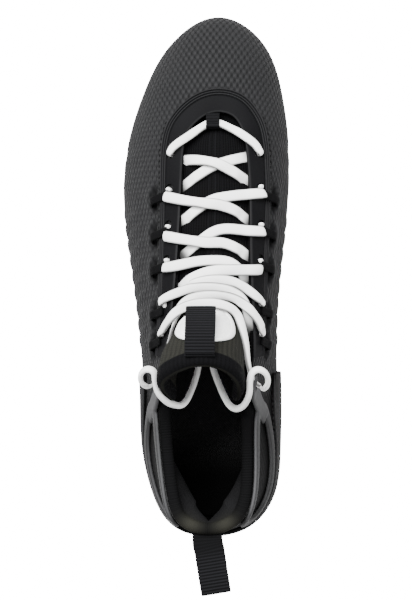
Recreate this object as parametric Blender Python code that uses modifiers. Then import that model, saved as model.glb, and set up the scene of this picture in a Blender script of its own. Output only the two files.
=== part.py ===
"""Left lacrosse cleat, mid cut, standing empty on its studs.

The upper is a loft over a last: a ring of columns runs from the heel along the outer side of the
foot, round the toe and back along the inner side.  Each column rises from the feather edge of the
sole to the collar, the eyestay or the end of the throat.  Overlays are cut from the same function.
+X is the inner (medial) side, +Y the toe, +Z up; the floor is z = 0.
"""

import math
from collections import namedtuple

import bmesh
import bpy
import numpy as np
from mathutils import Matrix, Vector
from mathutils.bvhtree import BVHTree

MM = 0.001
DOWN = Vector((0.0, 0.0, -1.0))

# Driving dimensions, in metres
SHOE_LENGTH = 0.295
BALL_WIDTH = 0.0952
INSTEP_HEIGHT = 0.098

# Size that the last sheet is drawn at, in millimetres
SHEET_LENGTH = 295.0
SHEET_BALL = 95.2
SHEET_INSTEP = 98.0

# Walls and clearances
GAP = 0.3 * MM
OVERLAY_LIFT = 0.5 * MM
WALL = 2.2 * MM
COLLAR_PAD = 6.5 * MM
TONGUE_WALL = 5.0 * MM
TONGUE_CLEAR = 0.7 * MM
TONGUE_TUCK = 7.0 * MM

# Sole
LIP_WALL = 1.6 * MM
EDGE_STEP = 1.0 * MM
INSOLE_WALL = 4.0 * MM
INSOLE_PLAY = 1.5 * MM
STUD_TIP = 4.3 * MM
STUD_BASE = 7.0 * MM
STUD_STRETCH = 1.25
STUD_ROOT = 2.0 * MM

# Overlays, straps and lace
EYESTAY_WIDTH = 14.0 * MM
EYESTAY_WALL = 1.2 * MM
EYELET_INSET = 7.0 * MM
EYELET_RADIUS = 2.6 * MM
COUNTER_WALL = 1.8 * MM
CAGE_WALL = 2.4 * MM
CAGE_CLEAR = 0.5 * MM
RING_WIDTH = 6.0 * MM
FIN_WIDTH = 10.0 * MM
FIN_HOLE = 3.4 * MM
BADGE_RADIUS = 16.5 * MM
BADGE_WALL = 1.2 * MM
BADGE_LIFT = 1.25 * MM
WEBBING = 1.4 * MM
PULL_WIDTH = 16.0 * MM
LACE_WIDTH = 6.6 * MM
LACE_WALL = 3.0 * MM
LACE_CLEAR = 0.6 * MM
LOOP_WIDTH = 5.5 * MM
LOOP_WALL = 2.0 * MM

# Samples
COLUMNS_PER_SECTION = 3
UPPER_ROWS = 8
TONGUE_COLUMNS = 13

Section = namedtuple(
    "Section",
    "name y lateral medial inset feather plate lip top_y top_lateral top_medial top_z rise reach drop",
)

# Last sheet, one row per section from heel to toe, in millimetres: the outline on both sides, how
# far the feather edge sits inside it, the heights of feather edge and plate, the lip of the sole,
# the top edge on both sides, and the handles that shape the wall between them.
LAST = (
    Section("heel", -132, 3.5, 3.5, 3.5, 19.5, 13.5, 9.0, -129, 3.5, 3.5, 104, 26, -2.5, 34),
    Section("heel_corner", -127, -17, 24.3, 4, 18.8, 12.0, 8.5, -122.5, -13.5, 21, 101, 26, -1, 32),
    Section("heel_side", -109, -28.6, 37.6, 4.5, 17.8, 11, 7.5, -104, -19.8, 27.2, 93, 26, 3, 28),
    Section("ankle", -83, -34.5, 40.6, 5, 18, 11.2, 6.5, -79, -22.4, 27, 87, 26, 6, 25),
    Section("collar_front", -53, -35.4, 41, 6.5, 20, 14, 6, -51, -22.6, 27.2, 92, 27, 7, 28),
    Section("instep", -15, -37.6, 40.6, 9, 20.5, 15.5, 6, -21, -17.6, 28, 98, 30, 11, 20),
    Section("waist", 22, -42.7, 43.3, 7, 18.5, 13, 6, 18, -13.7, 26.5, 94, 30, 15, 13),
    Section("ball", 60, -47.6, 47.2, 4.5, 15.6, 10.6, 5.5, 58, -12, 25.8, 82.5, 26, 19, 9),
    Section("forefoot", 91, -44.7, 47.2, 4, 16, 11, 5.5, 86, -10.7, 23.7, 75, 23, 24, 7),
    Section("toe_root", 119, -35.8, 43.4, 4, 18.6, 13.6, 6, 97, -6.3, 20.6, 71, 21, 28, 6),
    Section("toe_side", 146, -20.5, 33, 4.5, 23.8, 18.6, 7.5, 103, 0.5, 16, 69.3, 20, 33, 5.5),
    Section("toe", 161, 7, 7, 5, 28.5, 23, 9, 105.2, 8.2, 8.2, 68.5, 20, 36, 5),
)
TOE = len(LAST) - 1
RING = 2 * TOE
COLLAR_FRONT = 4
EYESTAY_END = 5.0 - 1.0 / 3.0

Arch = namedtuple("Arch", "name x y z half depth wrap drop")

# Free part of the tongue, one horseshoe per row: its front in millimetres, half width, depth,
# wrap in degrees and how far its ends hang
TONGUE = (
    Arch("above_lace", 3.8, -7, 110, 19.5, 15, 112, 18),
    Arch("badge", 2.8, -14, 118.5, 21, 16, 117, 25),
    Arch("under_roll", 1.8, -24, 130, 21.9, 14.5, 120, 33.5),
    Arch("roll", 1.5, -31.5, 133.5, 22, 14.5, 121, 36),
)
TONGUE_SECTIONS = (9.5, 9.0, 8.3, 7.6, 7.0, 6.5, 6.0, 5.5, 5.0)
TONGUE_CROWN = 0.13
TONGUE_SWEEP = 20.0 * MM
TONGUE_FACE = 30.6 * MM

# Rows of eyelets by their place along the shoe, in millimetres
EYELET_ROWS = (80.5, 61.5, 41.0, 21.5, -3.7, -20.0)

Stud = namedtuple("Stud", "name section inset")

# Studs on both sides of the plate, by section and distance inside the feather edge in millimetres
SIDE_STUDS = (
    Stud("heel_back", 1.25, 10),
    Stud("heel_front", 2.75, 9),
    Stud("waist", 6.35, 9),
    Stud("ball", 7.15, 9),
    Stud("forefoot", 8.15, 9),
    Stud("toe_root", 9.25, 10),
)
CENTRE_STUDS = (("toe", 139), ("forefoot", 84))

Step = namedtuple("Step", "section height")

# Ring of the cage as sections and shares of the wall height, and the fin that rises from it
CAGE_RING = (
    Step(3.72, 0.845), Step(3.5, 0.9), Step(3.0, 0.92), Step(2.4, 0.93), Step(1.75, 0.925),
    Step(1.25, 0.875), Step(1.04, 0.75), Step(1.25, 0.615), Step(1.8, 0.555), Step(2.5, 0.56),
    Step(3.1, 0.61), Step(3.5, 0.685), Step(3.72, 0.765),
)
CAGE_FIN = (Step(3.55, 0.74), Step(3.75, 0.86), Step(3.95, 0.97), Step(4.1, 1.07), Step(4.2, 1.15))
FIN_EYELET = Step(4.15, 1.1)

# Top edge of the heel counter as shares of the wall height, by section
COUNTER_TOP = (Step(0, 0.55), Step(1, 0.49), Step(2, 0.46), Step(3, 0.49), Step(13.0 / 3.0, 0.60))

# Loops of webbing seen from the side: the tongue's as distance down its face and off it, the
# heel's as y and z, both in millimetres
TONGUE_PULL = ((-3, -2.2), (0, 0.4), (4, 3.1), (10, 3.7), (20, 4.2), (24.6, 5.2), (26, 7), (24.6, 8.8),
               (18, 9.2), (10, 8.2), (4, 6.2), (0, 3.0), (-3, -0.2))
HEEL_PULL = ((-129.9, 100.3), (-140, 103), (-152, 104.6), (-158.6, 104.4), (-160.3, 102.6),
             (-158.8, 100.8), (-150, 98.4), (-141, 93.8), (-133.8, 87.8), (-130.4, 84.8))
HEEL_PULL_X = 3.0
HEEL_PULL_LEAN = 0.17
THROAT_LOOP = ((102.3, 1.3), (101.9, 4.5), (100.5, 7), (97.5, 7.8), (94.5, 7), (93.1, 4.5), (92.7, 1.3))
THROAT_LOOP_X = 5.2
THROAT_LOOP_WIDTH = 7.5 * MM

# Lace seen from above, in millimetres, each strand from one side to the other; it lies on what is
# under it.  Tails have heights of their own.
Strand = namedtuple("Strand", "route tail")
LACE = {
    "lace_start": (
        Strand(((-19, 80.8), (-17.2, 84), (-11.8, 89.3), (-5.6, 93.9), (1.4, 97.2), (5.2, 97.5),
                (8.9, 97.2), (15.8, 94.6), (21.4, 91.2), (29, 85.4), (31.5, 81.5)), ()),
    ),
    "lace_cross_1": (
        Strand(((-9.3, 79.5), (-5.7, 78.9), (2.4, 77.4), (9.3, 75.2), (18.3, 70.4), (22.6, 67.4)), ()),
        Strand(((22.8, 79.6), (19.9, 78.9), (12.5, 76.8), (5.1, 74.1), (-3.5, 68.8), (-8.8, 65)), ()),
    ),
    "lace_cross_2": (
        Strand(((-22.5, 57.9), (-11.3, 55.4), (0, 53.7), (9.5, 52.6), (18, 49.5), (23, 45.8)), ()),
        Strand(((35.6, 59.3), (25.9, 58.6), (14.8, 57.4), (5.3, 55.3), (-3.2, 50), (-10, 44.5)), ()),
    ),
    "lace_cross_3": (
        Strand(((-22.3, 35.7), (-11, 33.5), (1.3, 31.8), (11.8, 31.3), (19.7, 28.2), (23.5, 25.4)), ()),
        Strand(((35.4, 37.8), (26, 38.2), (13.4, 39.2), (5.5, 37.1), (-3, 30.8), (-7.5, 27.2)), ()),
    ),
    "lace_top": (
        Strand(((-22.6, 17.8), (-15.6, 18.6), (-2.2, 21.2), (8.3, 21.7), (15.2, 20.7), (20.4, 17),
                (23.4, 12.4)), ()),
        Strand(((34, 17), (28.2, 16.5), (15.2, 16.5), (6.3, 15.9), (-0.1, 14.4), (-7, 11.2),
                (-11, 7.7)), ()),
        Strand(((34.4, -2), (32.4, -0.3), (25.7, 3.9), (19.4, 8), (11.1, 11.2), (1.7, 11.7),
                (-5.7, 9.1), (-11, 3.3), (-14.3, -4), (-18.6, -11.9), (-22.4, -18)), ()),
        Strand(((-24.4, -2), (-20.3, 1.2), (-13.3, 4.4), (-6.2, 7.5), (0.7, 9.1), (7, 9.6),
                (13.8, 8.5), (20, 5.9), (24.1, 1.8), (27.2, -5.1), (31.4, -11.4), (34, -15.6)), ()),
        Strand(((23.8, -14.5), (23.3, -9), (22, -4.5), (16.4, 1.2), (7.6, 3.3), (-2.4, 2.8),
                (-9.8, 0.2), (-13.4, -5.6)),
               ((-16.2, -12.5, 105), (-18.8, -20.5, 105), (-21.2, -29, 105), (-22, -35.5, 105.5))),
        Strand(((-13.2, -9), (-12.6, -7), (-8.8, -4), (-1.3, -1.4), (6.6, -0.9), (12.8, -2.5),
                (18.5, -6.1)),
               ((21.3, -11.5, 105), (23.6, -19.5, 105), (25, -28, 105), (26.2, -35.5, 105.5))),
    ),
}
LACE_ENDS = {
    "lace_end_lateral": (
        (-26.6, -46.5, 101.8), (-29.2, -46.2, 102.5), (-31.7, -44.2, 104.8), (-31.7, -41.2, 108.2),
        (-29.8, -38.8, 111.2), (-26.4, -38.4, 113.2), (-23.8, -41.8, 112.6), (-23, -47.5, 112),
        (-22, -53.4, 109.4), (-20.4, -57.4, 102), (-16.8, -58.8, 94.2), (-12.6, -57.8, 89),
        (-9.2, -54.5, 86.5), (-6.2, -49.5, 85), (-4, -44, 85), (-2.4, -37.5, 86)),
    "lace_end_medial": (
        (32.2, -47.2, 101.9), (34.6, -46.8, 102.6), (36.5, -44.2, 104.8), (36.3, -41.2, 108.2),
        (34.2, -38.8, 111.2), (30.8, -38.4, 113.2), (27.6, -41.8, 112.6), (26.6, -47.5, 112),
        (25.6, -53.4, 109.4), (23.8, -58, 102), (20.6, -60.2, 94.2), (16.6, -60, 89), (13.6, -57, 86.4),
        (11.2, -52, 85.2), (8.8, -46.5, 85), (6.4, -39.5, 86)),
}

# Finishes: colour, roughness, metallic
FINISHES = {
    "plate": ((0.020, 0.020, 0.022), 0.42, 0.0),
    "footbed": ((0.012, 0.012, 0.013), 0.90, 0.0),
    "textile": ((0.045, 0.047, 0.052), 0.78, 0.0),
    "tongue_mesh": ((0.030, 0.031, 0.026), 0.88, 0.0),
    "film": ((0.070, 0.073, 0.080), 0.52, 0.0),
    "counter_film": ((0.018, 0.018, 0.020), 0.50, 0.0),
    "cage_plastic": ((0.20, 0.20, 0.21), 0.35, 0.0),
    "badge_white": ((0.80, 0.80, 0.80), 0.55, 0.0),
    "webbing": ((0.010, 0.010, 0.011), 0.92, 0.0),
    "lace_white": ((0.82, 0.82, 0.83), 0.85, 0.0),
}


def clear_file():
    """Remove every object that the file starts with."""
    for item in list(bpy.data.objects):
        bpy.data.objects.remove(item, do_unlink=True)


def make_collection(name):
    group = bpy.data.collections.new(name)
    bpy.context.scene.collection.children.link(group)
    return group


def make_material(name, colour, roughness, metallic):
    material = bpy.data.materials.new(name)
    material.use_nodes = True
    shader = material.node_tree.nodes["Principled BSDF"]
    shader.inputs["Base Color"].default_value = (*colour, 1.0)
    shader.inputs["Roughness"].default_value = roughness
    shader.inputs["Metallic"].default_value = metallic
    material.diffuse_color = (*colour, 1.0)
    return material


def smooth(low, high, value):
    share = min(max((value - low) / (high - low), 0.0), 1.0)
    return share * share * (3.0 - 2.0 * share)


def unit(vector):
    return vector / max(np.linalg.norm(vector), 1e-9)


# Last

def ring_table():
    """Values of the last sheet in metres, one row per control column round the shoe."""
    across = BALL_WIDTH / SHEET_BALL
    along = SHOE_LENGTH / SHEET_LENGTH
    up = INSTEP_HEIGHT / SHEET_INSTEP
    rows = []
    for index in range(RING):
        row = LAST[min(index, RING - index)]
        outer = index <= TOE
        rows.append((
            (row.lateral if outer else row.medial) * across,
            row.y * along,
            row.inset * MM,
            row.feather * up,
            row.plate * up,
            row.lip * MM,
            (row.top_lateral if outer else row.top_medial) * across,
            row.top_y * along,
            row.top_z * up,
            row.rise * MM,
            row.reach * MM,
            row.drop * MM,
        ))
    return np.array(rows)


def spline_weights(values):
    """Coefficients of the closed cubic spline through the rows of a table."""
    count = len(values)
    blend = np.zeros((count, count))
    for index in range(count):
        blend[index, index] = 4.0 / 6.0
        blend[index, (index - 1) % count] = 1.0 / 6.0
        blend[index, (index + 1) % count] = 1.0 / 6.0
    return np.linalg.solve(blend, values)


COEFFICIENTS = spline_weights(ring_table())
COLUMN_CACHE = {}
BEZIER_STEPS = np.linspace(0.0, 1.0, 41)


def spline_value(weights, place):
    """Value of a closed spline at any place round it, and how it changes there."""
    base = math.floor(place)
    t = place - base
    basis = np.array([(1 - t) ** 3, 3 * t ** 3 - 6 * t * t + 4, -3 * t ** 3 + 3 * t * t + 3 * t + 1, t ** 3])
    slope = np.array([-3 * (1 - t) ** 2, 9 * t * t - 12 * t, -9 * t * t + 6 * t + 3, 3 * t * t])
    rows = weights[[(base + step) % len(weights) for step in (-1, 0, 1, 2)]]
    return basis @ rows / 6.0, slope @ rows / 6.0


Column = namedtuple("Column", "line length feather out plate lip")


def column(place):
    """Wall of the upper at one place: its line from feather edge to top edge."""
    key = round(place % RING, 5)
    if key in COLUMN_CACHE:
        return COLUMN_CACHE[key]
    value, change = spline_value(COEFFICIENTS, key)
    edge = value[0:2]
    inset, feather_z, plate_z, lip = value[2:6]
    top = value[6:9]
    rise, reach, drop = value[9:12]
    out = unit(np.array([-change[1], change[0]]))
    toward = unit(edge - top[:2])
    foot = np.array([*(edge - out * inset), feather_z])
    upper_handle = np.array([*(top[:2] + toward * reach), top[2] - drop])
    t = BEZIER_STEPS[:, None]
    flare = 6.0 * MM
    for _ in range(14):
        lower_handle = np.array([*(edge + out * flare), feather_z + rise])
        line = ((1 - t) ** 3 * foot + 3 * t * (1 - t) ** 2 * lower_handle
                + 3 * t * t * (1 - t) * upper_handle + t ** 3 * top)
        flare -= np.max((line[:, :2] - edge) @ out) / 0.43
    steps = np.linalg.norm(np.diff(line, axis=0), axis=1)
    length = np.concatenate(([0.0], np.cumsum(steps)))
    COLUMN_CACHE[key] = Column(line, length, foot, out, plate_z, lip)
    return COLUMN_CACHE[key]


def girth(place):
    return column(place).length[-1]


def skin(place, share):
    """Point of the upper's outer face: place round the ring, share of the wall's height.

    Shares over 1 stand straight up from the top edge.
    """
    wall = column(place)
    reach = share * wall.length[-1]
    if share > 1.0:
        return wall.line[-1] + np.array([0.0, 0.0, reach - wall.length[-1]])
    return np.array([np.interp(reach, wall.length, wall.line[:, axis]) for axis in range(3)])


def skin_normal(place, share):
    step = 0.02
    middle = min(max(share, 0.0), 1.0)
    low = max(middle - step, 0.0)
    high = min(middle + step, 1.0)
    up = skin(place, high) - skin(place, low)
    along = skin(place + step, middle) - skin(place - step, middle)
    return unit(np.cross(up, along))


def raised(place, share, height):
    """Point at a height over the outer face."""
    return skin(place, share) + skin_normal(place, share) * height


def section_of(place):
    return min(place % RING, RING - place % RING)


def wall_at(place, share):
    """Thickness of the wall: thin over the foot, padded at the collar."""
    pad = 1.0 - smooth(COLLAR_FRONT - 0.3, COLLAR_FRONT + 0.5, section_of(place))
    return WALL + (COLLAR_PAD - WALL) * pad * smooth(0.55, 0.85, share)


def place_at_row(row_y, medial):
    """Place on the ring whose top edge lies at this y."""
    sections = np.linspace(EYESTAY_END, TOE, 120)
    ys = [skin(section, 1.0)[1] for section in sections]
    section = float(np.interp(row_y, ys, sections))
    return RING - section if medial else section


# Mesh helpers

def add_object(name, verts, faces, finish, group):
    mesh = bpy.data.meshes.new(name)
    mesh.from_pydata([tuple(vert) for vert in verts], [], faces)
    mesh.validate()
    item = bpy.data.objects.new(name, mesh)
    group.objects.link(item)
    if finish:
        mesh.materials.append(MATERIALS[finish])
    return item


def add_solid(name, verts, faces, finish, group):
    item = add_object(name, verts, faces, finish, group)
    work = bmesh.new()
    work.from_mesh(item.data)
    bmesh.ops.recalc_face_normals(work, faces=work.faces)
    work.to_mesh(item.data)
    work.free()
    return item


def grid_faces(rows, count, closed):
    faces = []
    for row in range(rows - 1):
        for step in range(count if closed else count - 1):
            after = (step + 1) % count
            faces.append((row * count + step, (row + 1) * count + step,
                          (row + 1) * count + after, row * count + after))
    return faces


def add_sheet(name, grid, finish, closed, wall, offset):
    """Open surface from a grid of points, thickened to a solid."""
    rows = len(grid)
    count = len(grid[0])
    verts = [point for row in grid for point in row]
    item = add_object(name, verts, grid_faces(rows, count, closed), finish, PARTS)
    shell = item.modifiers.new("wall", "SOLIDIFY")
    shell.thickness = wall
    shell.offset = offset
    return item


def path_tangents(points, closed):
    if closed:
        return np.roll(points, -1, axis=0) - np.roll(points, 1, axis=0)
    return np.gradient(points, axis=0)


def sweep_rings(points, ups, profile, closed):
    """Rings of a profile carried along a path; its second axis follows the ups."""
    points = np.asarray(points)
    tangents = path_tangents(points, closed)
    rings = []
    for point, tangent, up in zip(points, tangents, ups):
        forward = unit(tangent)
        side = unit(np.cross(forward, up))
        over = np.cross(side, forward)
        rings.append([point + side * a + over * b for a, b in profile])
    return rings


def add_sweep(name, points, ups, profile, finish, group, closed=False):
    rings = sweep_rings(points, ups, profile, closed)
    count = len(profile)
    verts = [vert for ring in rings for vert in ring]
    faces = []
    spans = len(rings) if closed else len(rings) - 1
    for span in range(spans):
        here = span * count
        there = (span + 1) % len(rings) * count
        for step in range(count):
            after = (step + 1) % count
            faces.append((here + step, there + step, there + after, here + after))
    if not closed:
        faces.append(tuple(range(count)))
        faces.append(tuple(reversed(range(len(verts) - count, len(verts)))))
    return add_solid(name, verts, faces, finish, group)


def add_strap(name, points, across, width, wall, finish):
    """Flat webbing along a path, its width lying along one fixed direction."""
    points = np.asarray(points)
    ups = [np.cross(across, tangent) for tangent in path_tangents(points, False)]
    profile = [(a, b - 0.5 * wall) for a, b in strip(width, wall)]
    return add_sweep(name, points, ups, profile, finish, PARTS)


def oval(width, wall, sides=6):
    turns = [2.0 * math.pi * step / sides for step in range(sides)]
    return [(0.5 * width * math.cos(turn), 0.5 * wall * math.sin(turn)) for turn in turns]


def strip(width, wall):
    return [(-0.5 * width, 0.0), (0.5 * width, 0.0), (0.5 * width, wall), (-0.5 * width, wall)]


def curve_through(points, count):
    """Evenly spaced points on a Catmull-Rom curve through a short list."""
    knots = np.asarray(points, dtype=float)
    ends = np.vstack((2 * knots[0] - knots[1], knots, 2 * knots[-1] - knots[-2]))
    fine = []
    for a, b, c, d in zip(ends, ends[1:], ends[2:], ends[3:]):
        for t in np.linspace(0.0, 1.0, 12, endpoint=False):
            fine.append(0.5 * (2 * b + (c - a) * t + (2 * a - 5 * b + 4 * c - d) * t * t
                               + (3 * b - a - 3 * c + d) * t ** 3))
    fine = np.array(fine + [knots[-1]])
    length = np.concatenate(([0.0], np.cumsum(np.linalg.norm(np.diff(fine, axis=0), axis=1))))
    steps = np.linspace(0.0, length[-1], count)
    return np.stack([np.interp(steps, length, fine[:, axis]) for axis in range(fine.shape[1])], axis=1)


def combine(target, tool, operation):
    """Boolean of a part with a guide shape that stays in the file, hidden."""
    for group in list(tool.users_collection):
        group.objects.unlink(tool)
    CUTTERS.objects.link(tool)
    tool.hide_render = True
    tool.display_type = "WIRE"
    change = target.modifiers.new(operation.lower(), "BOOLEAN")
    change.operation = operation
    change.solver = "EXACT"
    change.object = tool


def tree_of(items):
    """Search tree over the finished faces of several parts."""
    bpy.context.view_layer.update()
    graph = bpy.context.evaluated_depsgraph_get()
    verts = []
    polygons = []
    for item in items:
        shape = item.evaluated_get(graph)
        mesh = shape.to_mesh()
        base = len(verts)
        verts.extend(item.matrix_world @ vert.co for vert in mesh.vertices)
        polygons.extend([base + index for index in face.vertices] for face in mesh.polygons)
        shape.to_mesh_clear()
    return BVHTree.FromPolygons(verts, polygons)


# Upper, sole and insole

def ring_places():
    count = RING * COLUMNS_PER_SECTION
    return [step / COLUMNS_PER_SECTION for step in range(count)]


def build_upper():
    places = ring_places()
    shares = np.linspace(0.0, 1.0, UPPER_ROWS + 1)
    grid = [[skin(place, share) for place in places] for share in shares]
    upper = add_sheet("upper", grid, "textile", True, COLLAR_PAD, -1.0)
    weights = upper.vertex_groups.new(name="wall")
    for row, share in enumerate(shares):
        for step, place in enumerate(places):
            weights.add([row * len(places) + step], wall_at(place, share) / COLLAR_PAD, "REPLACE")
    upper.modifiers["wall"].vertex_group = "wall"
    return upper


def close_across(faces, ring, spine):
    """Faces from a closed ring of columns to the points along its middle."""
    half = len(ring) // 2
    for step in range(half):
        here = spine.get(step)
        there = spine.get(step + 1)
        outer = (ring[step], ring[step + 1])
        inner = (ring[-step] if step else ring[0], ring[-step - 1])
        for pair in (outer, inner):
            corners = [pair[0], pair[1]]
            if there is not None:
                corners.append(there)
            if here is not None:
                corners.append(here)
            faces.append(tuple(corners if pair is outer else reversed(corners)))


def add_plate(name, rings, spines, finish):
    """Solid from rings of columns stacked from its top edge to its bottom edge."""
    count = len(rings[0])
    verts = [point for ring in rings for point in ring]
    faces = grid_faces(len(rings), count, True)
    for ring_index, lift in ((0, spines[0]), (len(rings) - 1, spines[1])):
        ring = [ring_index * count + step for step in range(count)]
        spine = {}
        for step in range(1, count // 2):
            middle = 0.5 * (np.array(verts[ring[step]]) + np.array(verts[ring[-step]]))
            spine[step] = len(verts)
            verts.append(middle + np.array([0.0, 0.0, lift]))
        close_across(faces, ring, spine)
    return add_solid(name, verts, faces, finish, PARTS)


def build_outsole():
    floor, foot, lip_in, lip_out, lip_low, notch, side, edge, base = [], [], [], [], [], [], [], [], []
    for place in ring_places():
        wall = column(place)
        out = np.array([*wall.out, 0.0])
        feather = wall.feather
        lip = wall.lip / girth(place)
        down = feather[2] - wall.plate
        drop = np.array([0.0, 0.0, 1.0])
        floor.append(feather - out * 3.0 * MM - drop * GAP)
        foot.append(feather + out * GAP - drop * GAP)
        lip_in.append(raised(place, lip, GAP))
        lip_out.append(raised(place, lip, GAP + LIP_WALL))
        lip_low.append(raised(place, 0.02, GAP + LIP_WALL + EDGE_STEP))
        notch.append(feather + out * EDGE_STEP * 0.6 - drop * down * 0.35)
        side.append(feather + out * EDGE_STEP * 1.2 - drop * down * 0.55)
        edge.append(feather + out * EDGE_STEP * 0.6 - drop * (down - 0.8 * MM))
        base.append(feather - out * 1.2 * MM - drop * down)
    rings = [floor, foot, lip_in, lip_out, lip_low, notch, side, edge, base]
    outsole = add_plate("outsole", rings, (0.0, 0.0), "plate")
    combine(outsole, build_studs(), "UNION")
    return outsole


def add_stud(work, centre, turn, root_z):
    made = bmesh.ops.create_cone(
        work, cap_ends=True, segments=10, radius1=STUD_TIP, radius2=STUD_BASE, depth=root_z)
    shape = (Matrix.Translation((centre[0], centre[1], 0.5 * root_z))
             @ Matrix.Rotation(turn, 4, "Z") @ Matrix.Diagonal((STUD_STRETCH, 0.9, 1.0, 1.0)))
    bmesh.ops.transform(work, matrix=shape, verts=made["verts"])


def build_studs():
    work = bmesh.new()
    for stud in SIDE_STUDS:
        for place in (stud.section, RING - stud.section):
            wall = column(place)
            centre = wall.feather[:2] - wall.out * stud.inset * MM
            turn = math.atan2(wall.out[1], wall.out[0]) + 0.5 * math.pi
            add_stud(work, centre, turn, wall.plate + STUD_ROOT)
    for name, y in CENTRE_STUDS:
        section = float(np.interp(y, [row.y for row in LAST], range(len(LAST))))
        middle = 0.5 * (column(section).feather + column(RING - section).feather)
        add_stud(work, middle[:2], 0.0, column(section).plate + STUD_ROOT)
    studs = guide_from(work, "studs")
    studs.data.materials.append(MATERIALS["plate"])
    return studs


def build_insole():
    bottom, top = [], []
    for place in ring_places():
        wall = column(place)
        out = np.array([*wall.out, 0.0])
        edge = wall.feather - out * (WALL + INSOLE_PLAY)
        bottom.append(edge)
        top.append(edge + np.array([0.0, 0.0, INSOLE_WALL]))
    return add_plate("insole", [top, bottom], (-0.6 * MM, 0.0), "footbed")


# Tongue

def tongue_rows():
    """Rows of the tongue's outer face from its tucked front end to its roll."""
    under = -(WALL + TONGUE_CLEAR)
    rows = []
    front = np.linspace(TOE - 1.0, TOE + 1.0, TONGUE_COLUMNS)
    for tuck in (TONGUE_TUCK, 0.5 * TONGUE_TUCK):
        rows.append([raised(place, 1.0 - tuck / girth(place), under) for place in front])
    for section in TONGUE_SECTIONS:
        edges = []
        tucks = []
        for place in (section, RING - section):
            edges.append(raised(place, 1.0, under))
            tucks.append(raised(place, 1.0 - TONGUE_TUCK / girth(place), under))
        width = np.linalg.norm(edges[1] - edges[0])
        sweep = TONGUE_SWEEP * (1.0 - smooth(5.0, 6.3, section))
        row = [tucks[0]]
        for across in np.linspace(-1.0, 1.0, TONGUE_COLUMNS - 2):
            bulge = 1.0 - across * across
            point = edges[0] + (edges[1] - edges[0]) * 0.5 * (across + 1.0)
            crown = TONGUE_CROWN * width * smooth(9.6, 8.2, section) + 0.12 * sweep
            row.append(point + np.array([0.0, sweep * bulge, crown * bulge]))
        row.append(tucks[1])
        rows.append(row)
    for arch in TONGUE:
        row = []
        for across in np.linspace(-1.0, 1.0, TONGUE_COLUMNS):
            turn = math.radians(arch.wrap) * across
            row.append(np.array([
                arch.x + arch.half * math.sin(turn),
                arch.y - arch.depth * (1.0 - math.cos(turn)),
                arch.z - arch.drop * across * across,
            ]) * MM)
        rows.append(row)
    return rows


def build_tongue():
    return add_sheet("tongue", tongue_rows(), "tongue_mesh", False, TONGUE_WALL, -1.0)


# Overlays on the upper

def build_eyelets():
    work = bmesh.new()
    for row_y in EYELET_ROWS:
        for medial in (False, True):
            place = place_at_row(row_y * MM, medial)
            share = 1.0 - EYELET_INSET / girth(place)
            turn = Vector(skin_normal(place, share)).to_track_quat("Z", "Y").to_matrix().to_4x4()
            spot = Matrix.Translation(Vector(raised(place, share, GAP))) @ turn
            bmesh.ops.create_cone(work, cap_ends=True, segments=6, radius1=EYELET_RADIUS,
                                  radius2=EYELET_RADIUS, depth=6.0 * EYESTAY_WALL, matrix=spot)
    return guide_from(work, "eyelets")


def guide_from(work, name):
    mesh = bpy.data.meshes.new(name)
    work.to_mesh(mesh)
    work.free()
    guide = bpy.data.objects.new(name, mesh)
    CUTTERS.objects.link(guide)
    return guide


def build_eyestay():
    spans = round((RING - 2.0 * EYESTAY_END) * COLUMNS_PER_SECTION)
    places = np.linspace(EYESTAY_END, RING - EYESTAY_END, spans + 1)
    grid = []
    for inset in np.linspace(EYESTAY_WIDTH, 0.0, 3):
        grid.append([raised(place, 1.0 - inset / girth(place), OVERLAY_LIFT) for place in places])
    eyestay = add_sheet("eyestay", grid, "film", False, EYESTAY_WALL, 1.0)
    combine(eyestay, build_eyelets(), "DIFFERENCE")
    return eyestay


def build_counter():
    ends = COUNTER_TOP[-1].section
    places = np.linspace(-ends, ends, round(2.0 * ends * COLUMNS_PER_SECTION) + 1)
    grid = []
    for part_up in np.linspace(0.0, 1.0, 5):
        row = []
        for place in places:
            low = (column(place).lip + 1.2 * MM) / girth(place)
            high = np.interp(section_of(place), *zip(*COUNTER_TOP))
            row.append(raised(place, low + (high - low) * part_up, OVERLAY_LIFT))
        grid.append(row)
    return add_sheet("heel_counter", grid, "counter_film", False, COUNTER_WALL, 1.0)


def place_of(section, medial):
    return RING - section if medial else section


def build_cage(name, medial):
    weights = spline_weights(np.array(CAGE_RING))
    spots = [spline_value(weights, len(CAGE_RING) * step / 36.0)[0] for step in range(36)]
    points = [raised(place_of(section, medial), share, CAGE_CLEAR) for section, share in spots]
    ups = [skin_normal(place_of(section, medial), share) for section, share in spots]
    cage = add_sweep(name, points, ups, strip(RING_WIDTH, CAGE_WALL), "cage_plastic", PARTS, True)
    spots = curve_through(CAGE_FIN, 8)
    clear = CAGE_CLEAR + 0.25 * MM
    points = [raised(place_of(section, medial), share, clear) for section, share in spots]
    ups = [skin_normal(place_of(section, medial), share) for section, share in spots]
    fin = add_sweep(name + "_fin", points, ups, strip(FIN_WIDTH, CAGE_WALL + GAP), "cage_plastic", PARTS)
    combine(cage, fin, "UNION")
    work = bmesh.new()
    place = place_of(FIN_EYELET.section, medial)
    turn = Vector(skin_normal(place, 1.0)).to_track_quat("Z", "Y").to_matrix().to_4x4()
    spot = Matrix.Translation(Vector(raised(place, FIN_EYELET.height, CAGE_CLEAR))) @ turn
    bmesh.ops.create_cone(work, cap_ends=True, segments=10, radius1=FIN_HOLE, radius2=FIN_HOLE,
                          depth=6.0 * CAGE_WALL, matrix=spot)
    combine(cage, guide_from(work, name + "_eyelet"), "DIFFERENCE")
    return cage


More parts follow.
